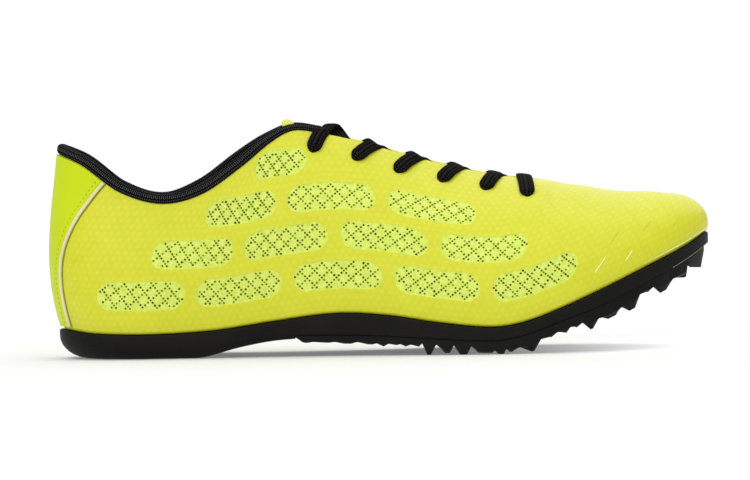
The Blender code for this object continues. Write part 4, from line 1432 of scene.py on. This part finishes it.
def laceEnd(firstSide):
    # from the bar's middle to one end of the lace
    loop, rise = eyeletPlaces[0, firstSide]
    path = []
    firstX = eyelets["x"][0]
    lean = float(turnAtX(firstX + lace["barLean"])) - float(turnAtX(firstX))
    for share in (1.0, 0.7, 0.4):
        here = rise + (1 - rise) * share
        along = loop - firstSide * lean * share
        place = shell(along, here, lace["stand"] - lace["barSink"] * share)
        path.append(lacePoint(place, normal(along, here)))
    side, sign = firstSide, 1.0
    lastNumber = len(eyelets["x"]) - 1
    for number in range(lastNumber + 1):
        loop, rise = eyeletPlaces[number, side]
        travel = unit(surface(loop, rise) - path[-1][:3])
        facing = normal(loop, rise)
        travel = unit(travel - facing * (travel @ facing))
        path += plunge(number, side, sign, travel, number == lastNumber)
        if number == lastNumber:
            break
        sign = -sign
        nextX = eyelets["x"][number + 1]
        pitch = eyelets["x"][number] - nextX
        top = number + 1 == lastNumber
        startTurn = float(turnAtX(nextX + lace["topStartShare" if top else "startShare"] * pitch))
        share = lace["underShare"]
        under = float(loopAt(startTurn * share + float(sideOf(loop)[0]) * (1 - share), side))
        underRise = (rise + 1) / 2
        place = shell(under, underRise, -lace["underDepth"])
        path.append(lacePoint(place, sign * normal(under, underRise)))
        near = topPoint(np.float64(loopAt(startTurn, side)))
        far = topPoint(np.float64(loopAt(startTurn, -side)))
        over = lace["apart"] * side
        start = near + unit(far - near) * lace["startInset"] - upward * lace["startDepth"]
        path.append(lacePoint(start, sign * upward))
        otherLoop, otherRise = eyeletPlaces[number + 1, -side]
        edgeX = nextX + lace["topEdgeShare" if top else "edgeShare"] * pitch
        shift = (float(turnAtX(edgeX)) - float(turnAtX(nextX))) * side
        edgeLoop = otherLoop + shift
        edge = shell(edgeLoop, 1.0, lace["stand"] + lace["edgeLift"])
        crown = lace["topCrown" if top else "crown"]
        for share in (0.3, 0.55, 0.8):
            arch = 1 - abs(2 * share - 1) if top else math.sin(math.pi * share)
            bulge = (crown + over) * arch
            path.append(lacePoint(start * (1 - share) + edge * share + upward * bulge, sign * upward))
        path.append(lacePoint(edge, sign * normal(edgeLoop, 1.0)))
        middleRise = (otherRise + 1) / 2
        middleLoop = otherLoop + shift / 2
        place = shell(middleLoop, middleRise, lace["stand"] + lace["middleStand"])
        path.append(lacePoint(place, sign * normal(middleLoop, middleRise)))
        side = -side
    return path


def smoothPath(keys, samples):
    keys = np.array(keys)
    padded = np.concatenate([2 * keys[:1] - keys[1:2], keys, 2 * keys[-1:] - keys[-2:-1]])
    t = np.arange(samples)[:, None] / samples
    made = []
    for k in range(len(keys) - 1):
        a, b, c, d = padded[k:k + 4]
        made.append(0.5 * (2 * b + (c - a) * t + (2 * a - 5 * b + 4 * c - d) * t**2
                           + (3 * b - a - 3 * c + d) * t**3))
    return np.concatenate(made + [keys[-1:]])


def buildLace():
    one, other = laceEnd(outer), laceEnd(inner)
    path = smoothPath(one[::-1] + other, lace["samples"])
    centre, facing = path[:, :3], path[:, 3:6]
    along = unit(np.gradient(centre, axis=0))
    across = unit(np.cross(along, facing))
    above = np.cross(across, along)
    width, thickness = path[:, 6], path[:, 7]
    sections = roundedSection(centre, across, above, width, thickness, lace["sides"], lace["fullness"])
    lengths = pathLengths(centre)
    mesh = tubeMesh("lace_band", sections, laceFinish, lengths)
    print("lace length", round(float(lengths[-1])), "mm")
    nodes = ["lace_bar"] + [f"lace_crossing_{k}" for k in range(1, 6)]
    finishPiece("lace_band", mesh, nodes)


buildLace()

# Midsole: foam wedge with a rounded lower edge, stepped up where the plate is let in
sole = {
    "margin": 1.4,
    "topRound": 0.7,
    "gap": 0.3,
    "flange": 8.0,
    "platformClear": 0.4,
    "plateBackX": -36.0,
    "plateStep": 0.7,
    "plateInset": 0.8,
    "plateThickness": 2.0,
    "plateGap": 0.12,
    "loopStep": 1.4,
    "topRows": 4,
    "sideRows": 6,
    "edgeRows": 8,
    "edgeInward": 1.3,
}
heelBottom = {
    "x": [-140.0, -120.0, -78.0, -60.0, -47.0, -36.0],
    "height": [0.0, 0.0, 0.0, 4.2, 6.6, 7.6],
    "edge": [10.8, 7.6, 5.0, 4.0, 3.0, 2.0],
}
plateLine = {
    "x": [-36.0, -9.0, 8.0, 25.0, 40.0, 50.0, 63.0, 76.0, 94.0, 111.0, 128.0, 142.0],
    "height": [9.0, 8.6, 7.8, 6.7, 5.8, 5.8, 8.5, 13.2, 19.9, 28.0, 36.6, 45.4],
    "edge": [0.8] * 12,
}


def soleBottom(x, column="height"):
    heel, front = follow(heelBottom, column, x), follow(plateLine, column, x)
    return np.maximum(np.where(x < sole["plateBackX"], heel, front), 0.0)


def ringMesh(name, rings, material):
    count = len(rings[0])
    half = count // 2
    faces = gridFaces(len(rings), count, wrap=True)
    for start in (0, (len(rings) - 1) * count):
        for k in range(half):
            across = [start + k, start + k + 1, start + (count - k - 1) % count, start + (count - k) % count]
            faces.append(tuple(dict.fromkeys(across)))
    return closedMesh(name, np.concatenate(rings), faces, [material])


def roundTheFoot(step, extraX=()):
    turns = np.unique(np.concatenate([evenTurns(step), turnAtX(np.array(extraX, float))]))
    return np.concatenate([turns, (2 - turns[1:-1])[::-1]])


def topRing(loops, distance, rise):
    ring = offsetOutline(loops, np.full(len(loops), distance))
    ring[:, 2] = featherHeight(ring[:, 0]) + rise
    return ring


def buildMidsole():
    back, half = sole["plateBackX"], sole["plateStep"] / 2
    loops = roundTheFoot(sole["loopStep"], (back - half, back + half))
    platform = -sole["flange"] - sole["platformClear"]
    rings = [topRing(loops, platform, upperMake["wall"]), topRing(loops, platform, -sole["gap"])]
    for down, inward in quarterRound(sole["topRows"]):
        out = sole["margin"] - sole["topRound"] * inward
        rings.append(topRing(loops, out, -sole["gap"] - sole["topRound"] * down))
    sideTop = rings[-1]
    x = outline(loops)[:, 0]
    radius, floor = soleBottom(x, "edge"), soleBottom(x)
    lower = []
    for inward, up in quarterRound(sole["edgeRows"]):
        ring = offsetOutline(loops, sole["margin"] - inward * sole["edgeInward"] * radius)
        ring[:, 2] = floor + up * radius
        lower.append(ring)
    for k in range(1, sole["sideRows"]):
        share = k / sole["sideRows"]
        rings.append(sideTop * (1 - share) + lower[0] * share)
    mesh = ringMesh("midsole_wedge", rings + lower, foamFinish)
    finishPiece("midsole_wedge", mesh, ["midsole"], 40.0)


insole = {
    "thickness": 3.0,
    "inset": 4.0,
    "round": 1.2,
    "roundRows": 4,
    "dish": 1.2,
    "dishWidth": 16.0,
    "dishRows": 6,
    "step": 2.0,
}


def buildInsole():
    loops = roundTheFoot(insole["step"])
    base = upperMake["wall"] + sole["gap"]
    rings = [topRing(loops, -insole["inset"], base)]
    top = base + insole["thickness"]
    for inward, down in quarterRound(insole["roundRows"]):
        inset = insole["inset"] + insole["round"] * inward
        rings.append(topRing(loops, -inset, top - insole["round"] * down))
    for k in range(1, insole["dishRows"] + 1):
        share = k / insole["dishRows"]
        inset = insole["inset"] + insole["round"] + insole["dishWidth"] * share
        rings.append(topRing(loops, -inset, top - insole["dish"] * float(ease(share))))
    mesh = ringMesh("insole_pad", rings, insoleFinish)
    finishPiece("insole_pad", mesh, ["insole"], 50.0)


buildMidsole()
buildInsole()

# Forefoot plate: rows of lugs from arch to toe, back of the tip, its length and height under the plate,
# and how much higher it is at the tip's front end
lugRows = {
    "x": [-33.4, -23.4, -15.6, -5.7, 1.2, 6.7, 10.6, 16.2, 19.6, 27.4, 33.6, 41.4, 50.0, 54.6, 63.6,
          72.4, 78.4, 83.1, 88.6, 96.4, 105.2, 113.7, 118.4, 129.2, 131.1],
    "tip": [1.2, 1.6, 3.0, 2.2, 0.0, 0.0, 0.0, 0.0, 1.4, 1.8, 2.6, 5.6, 1.8, 0.8, 1.2,
            0.0, 0.0, 0.0, 1.0, 3.4, 2.4, 0.0, 2.6, 0.8, 5.1],
    "height": [1.4, 1.5, 1.5, 2.2, 2.3, 2.1, 1.9, 2.3, 5.0, 4.7, 4.3, 4.1, 4.2, 4.9, 5.8,
               3.9, 3.6, 4.0, 6.2, 5.9, 6.3, 3.4, 5.8, 5.8, 2.3],
    "growth": [0.0] * 24 + [3.7],
}
plate = {
    "frontX": 137.7,
    "small": 0.72,
    "rib": 0.55,
    "valley": 0.5,
    "openValley": 0.08,
    "openX": (17.0, 44.0),
    "backThin": 0.5,
    "backLength": 6.0,
    "valleyLead": 0.38,
    "across": 5,
    "tipShare": 0.32,
    "spread": 0.9,
    "xStep": 0.55,
    "columns": 121,
    "backGap": 0.05,
    # painted light between band and plate near the toe: where it starts, ends, its points and radius
    "gapLightFromX": 124.0,
    "gapLightEnd": 0.6,
    "gapLightPoints": 40,
    "gapLightRadius": 0.17,
}


def plateLines():
    # x, height and row number (or -1) of each line across the plate
    lines = [(sole["plateBackX"] + plate["backGap"], 0.0, -1)]
    rows = list(zip(*lugRows.values()))
    for row, (x, tip, height, growth) in enumerate(rows):
        if row:
            before = rows[row - 1]
            start = before[0] + before[1]
            share = plate["openValley" if plate["openX"][0] < x < plate["openX"][1] else "valley"]
            valley = min(before[2], height) * share
            lines.append((start + (x - start) * plate["valleyLead"], valley, -1))
        lines.append((x, height, row))
        if tip:
            lines.append((x + tip, height + growth, row))
    return lines + [(plate["frontX"], 0.0, -1)]


def lugShares(share, row):
    # part of the row's height at this share across the plate; all of it where there is no row
    if row < 0:
        return np.ones_like(share)
    half = 1.0 / plate["across"]
    keys, parts = [-1.0], [plate["rib"]]
    for k in range(plate["across"]):
        middle = -1 + half * (2 * k + 1)
        lean = (k - (plate["across"] - 1) / 2) / plate["across"] * half * plate["spread"]
        height = plate["small"] if (row + k) % 2 else 1.0
        for end in (-half, half):
            keys.append(middle + end * plate["tipShare"] + lean)
            parts.append(height)
        keys.append(middle + half)
        parts.append(plate["rib"])
    return np.interp(share, keys, parts)


def plateEdges(xs):
    turn = turnAtX(xs)
    distance = np.full(len(xs), sole["margin"] - sole["plateInset"])
    return [offsetOutline(loop, distance) for loop in (turn, 2 - turn)]


def buildPlate():
    lines = plateLines()
    keys = np.array([line[0] for line in lines])
    xs = np.unique(np.concatenate([np.arange(keys[0], keys[-1], plate["xStep"]), keys]))
    shares = np.linspace(-1, 1, plate["columns"])
    drops = np.array([height * lugShares(shares, row) for _, height, row in lines])
    drop = np.stack([np.interp(xs, keys, drops[:, k]) for k in range(len(shares))], 1)
    ends = plateEdges(xs)
    level = soleBottom(xs) - sole["plateGap"]
    thin = plate["backThin"] * (1 - ease((xs - keys[0]) / plate["backLength"]))
    thickness = sole["plateThickness"] * (1 - thin)
    across = ((shares + 1) / 2)[None, :, None]
    top = ends[0][:, None] * (1 - across) + ends[1][:, None] * across
    top[..., 2] = level[:, None]
    below = top.copy()
    below[..., 2] = np.maximum((level - thickness)[:, None] - drop, 0.0)
    mesh = sheetMesh("lugged_plate", top, below, plateFinish)
    finishPiece("lugged_plate", mesh, ["outsole_plate"], 30.0)


# painted light: a thin pale line along the gap between band and plate near the toe
def buildGapLight():
    xs = np.linspace(plate["gapLightFromX"], plate["frontX"] - plate["gapLightEnd"], plate["gapLightPoints"])
    paths = plateEdges(xs)
    for path in paths:
        path[:, 2] = soleBottom(xs) - sole["plateGap"] / 2
    buildLines("toe_gap_light", paths, plate["gapLightRadius"], gapLightFinish)


buildPlate()
buildGapLight()

# Stage: white floor, soft light, long lens
stage = {
    "floorSize": 24.0,
    "floorDrop": 0.05,
    "floorColour": (0.68, 0.68, 0.68),
    "floorMottle": 0.985,
    "floorGlow": 0.18,
    # painted light: a camera-only glow on the floor past the toe, its strength, centre and reach
    "toeGlow": 0.62,
    "toeGlowX": 150.0,
    "toeGlowFull": 15.0,
    "toeGlowEnd": 130.0,
    "skyStrength": 0.42,
    "lamps": {
        "frontSoftbox": {"strength": 1.88, "spread": 110.0, "tilt": (31.0, -9.0)},
        "backSoftbox": {"strength": 1.2, "spread": 80.0, "tilt": (-42.0, 5.0)},
    },
    "cameraAway": 6.0,
    "elevation": 2.0,
    "roll": 1.123,
    "target": (-1.74, 0.0, 47.75),
    "viewWidth": 319.4,
    "sensor": 36.0,
    "clipEnd": 60.0,
}


def stagePiece(name, corners, material):
    mesh = bpy.data.meshes.new(name)
    mesh.from_pydata(corners, [], [(0, 1, 2, 3)])
    mesh.materials.append(material)
    piece = addObject(name, mesh)


def buildStage():
    half, low = stage["floorSize"] / 2, -stage["floorDrop"] * mm
    floorFinish, tree, shader = startMaterial("floorWhite", 0.9)
    pale = stage["floorColour"]
    darker = [c * stage["floorMottle"] for c in pale]
    paint(tree, shader, grainOf(tree, 3.0, 400.0)["Tone"], darker, pale)
    corners = [(-half, -half, low), (half, -half, low), (half, half, low), (-half, half, low)]
    stagePiece("floor", corners, floorFinish)
    # the toe's shadow fades to white, as in the photo; the spot lights nothing but the picture
    # painted light: the floor glows in a spot past the toe, seen only by the camera, lifting the toe's shadow
    away = addNode(tree, "ShaderNodeVectorMath", {0: millimetres(tree), 1: (stage["toeGlowX"], 0.0, 0.0)},
                   operation="DISTANCE").outputs["Value"]
    seen = tree.nodes.new("ShaderNodeLightPath").outputs["Is Camera Ray"]
    fade = spread(tree, away, stage["toeGlowFull"], stage["toeGlowEnd"], 1.0, 0.0, "SMOOTHSTEP")
    spot = math2(tree, "MULTIPLY", fade, seen)
    near = [stage["floorGlow"] / stage["toeGlow"]] * 3
    tree.links.new(mixColour(tree, spot, near, (1.0, 1.0, 1.0)), shader.inputs["Emission Color"])
    shader.inputs["Emission Strength"].default_value = stage["toeGlow"]
    world = bpy.data.worlds.new("softRoom")
    world.use_nodes = True
    tree = world.node_tree
    background = tree.nodes["Background"]
    background.inputs["Color"].default_value = (1.0, 1.0, 1.0, 1.0)
    seen = tree.nodes.new("ShaderNodeLightPath").outputs["Is Camera Ray"]  # plain white behind the shoe
    tree.links.new(spread(tree, seen, 0.0, 1.0, stage["skyStrength"], 1.0), background.inputs["Strength"])
    bpy.context.scene.world = world
    for name, look in stage["lamps"].items():
        lamp = bpy.data.lights.new(name, "SUN")
        lamp.energy = look["strength"]
        lamp.angle = math.radians(look["spread"])
        addObject(name, lamp).rotation_euler = [math.radians(a) for a in look["tilt"]] + [0.0]


def buildCamera():
    lens = bpy.data.cameras.new("photoView")
    lens.sensor_width = stage["sensor"]
    away = stage["cameraAway"]
    lens.lens = stage["sensor"] * away / (stage["viewWidth"] * mm)
    lens.clip_end = stage["clipEnd"]
    camera = addObject("photoView", lens)
    tilt = math.radians(stage["elevation"])
    target = Vector(stage["target"]) * mm
    place = target + Vector((0.0, -math.cos(tilt), math.sin(tilt))) * away
    turn = Matrix.Rotation(math.pi / 2 - tilt, 4, "X") @ Matrix.Rotation(-math.radians(stage["roll"]), 4, "Z")
    camera.matrix_world = Matrix.Translation(place) @ turn
    bpy.context.scene.camera = camera


buildStage()
buildCamera()
bpy.context.scene.view_settings.view_transform = "Standard"

print("scene done")
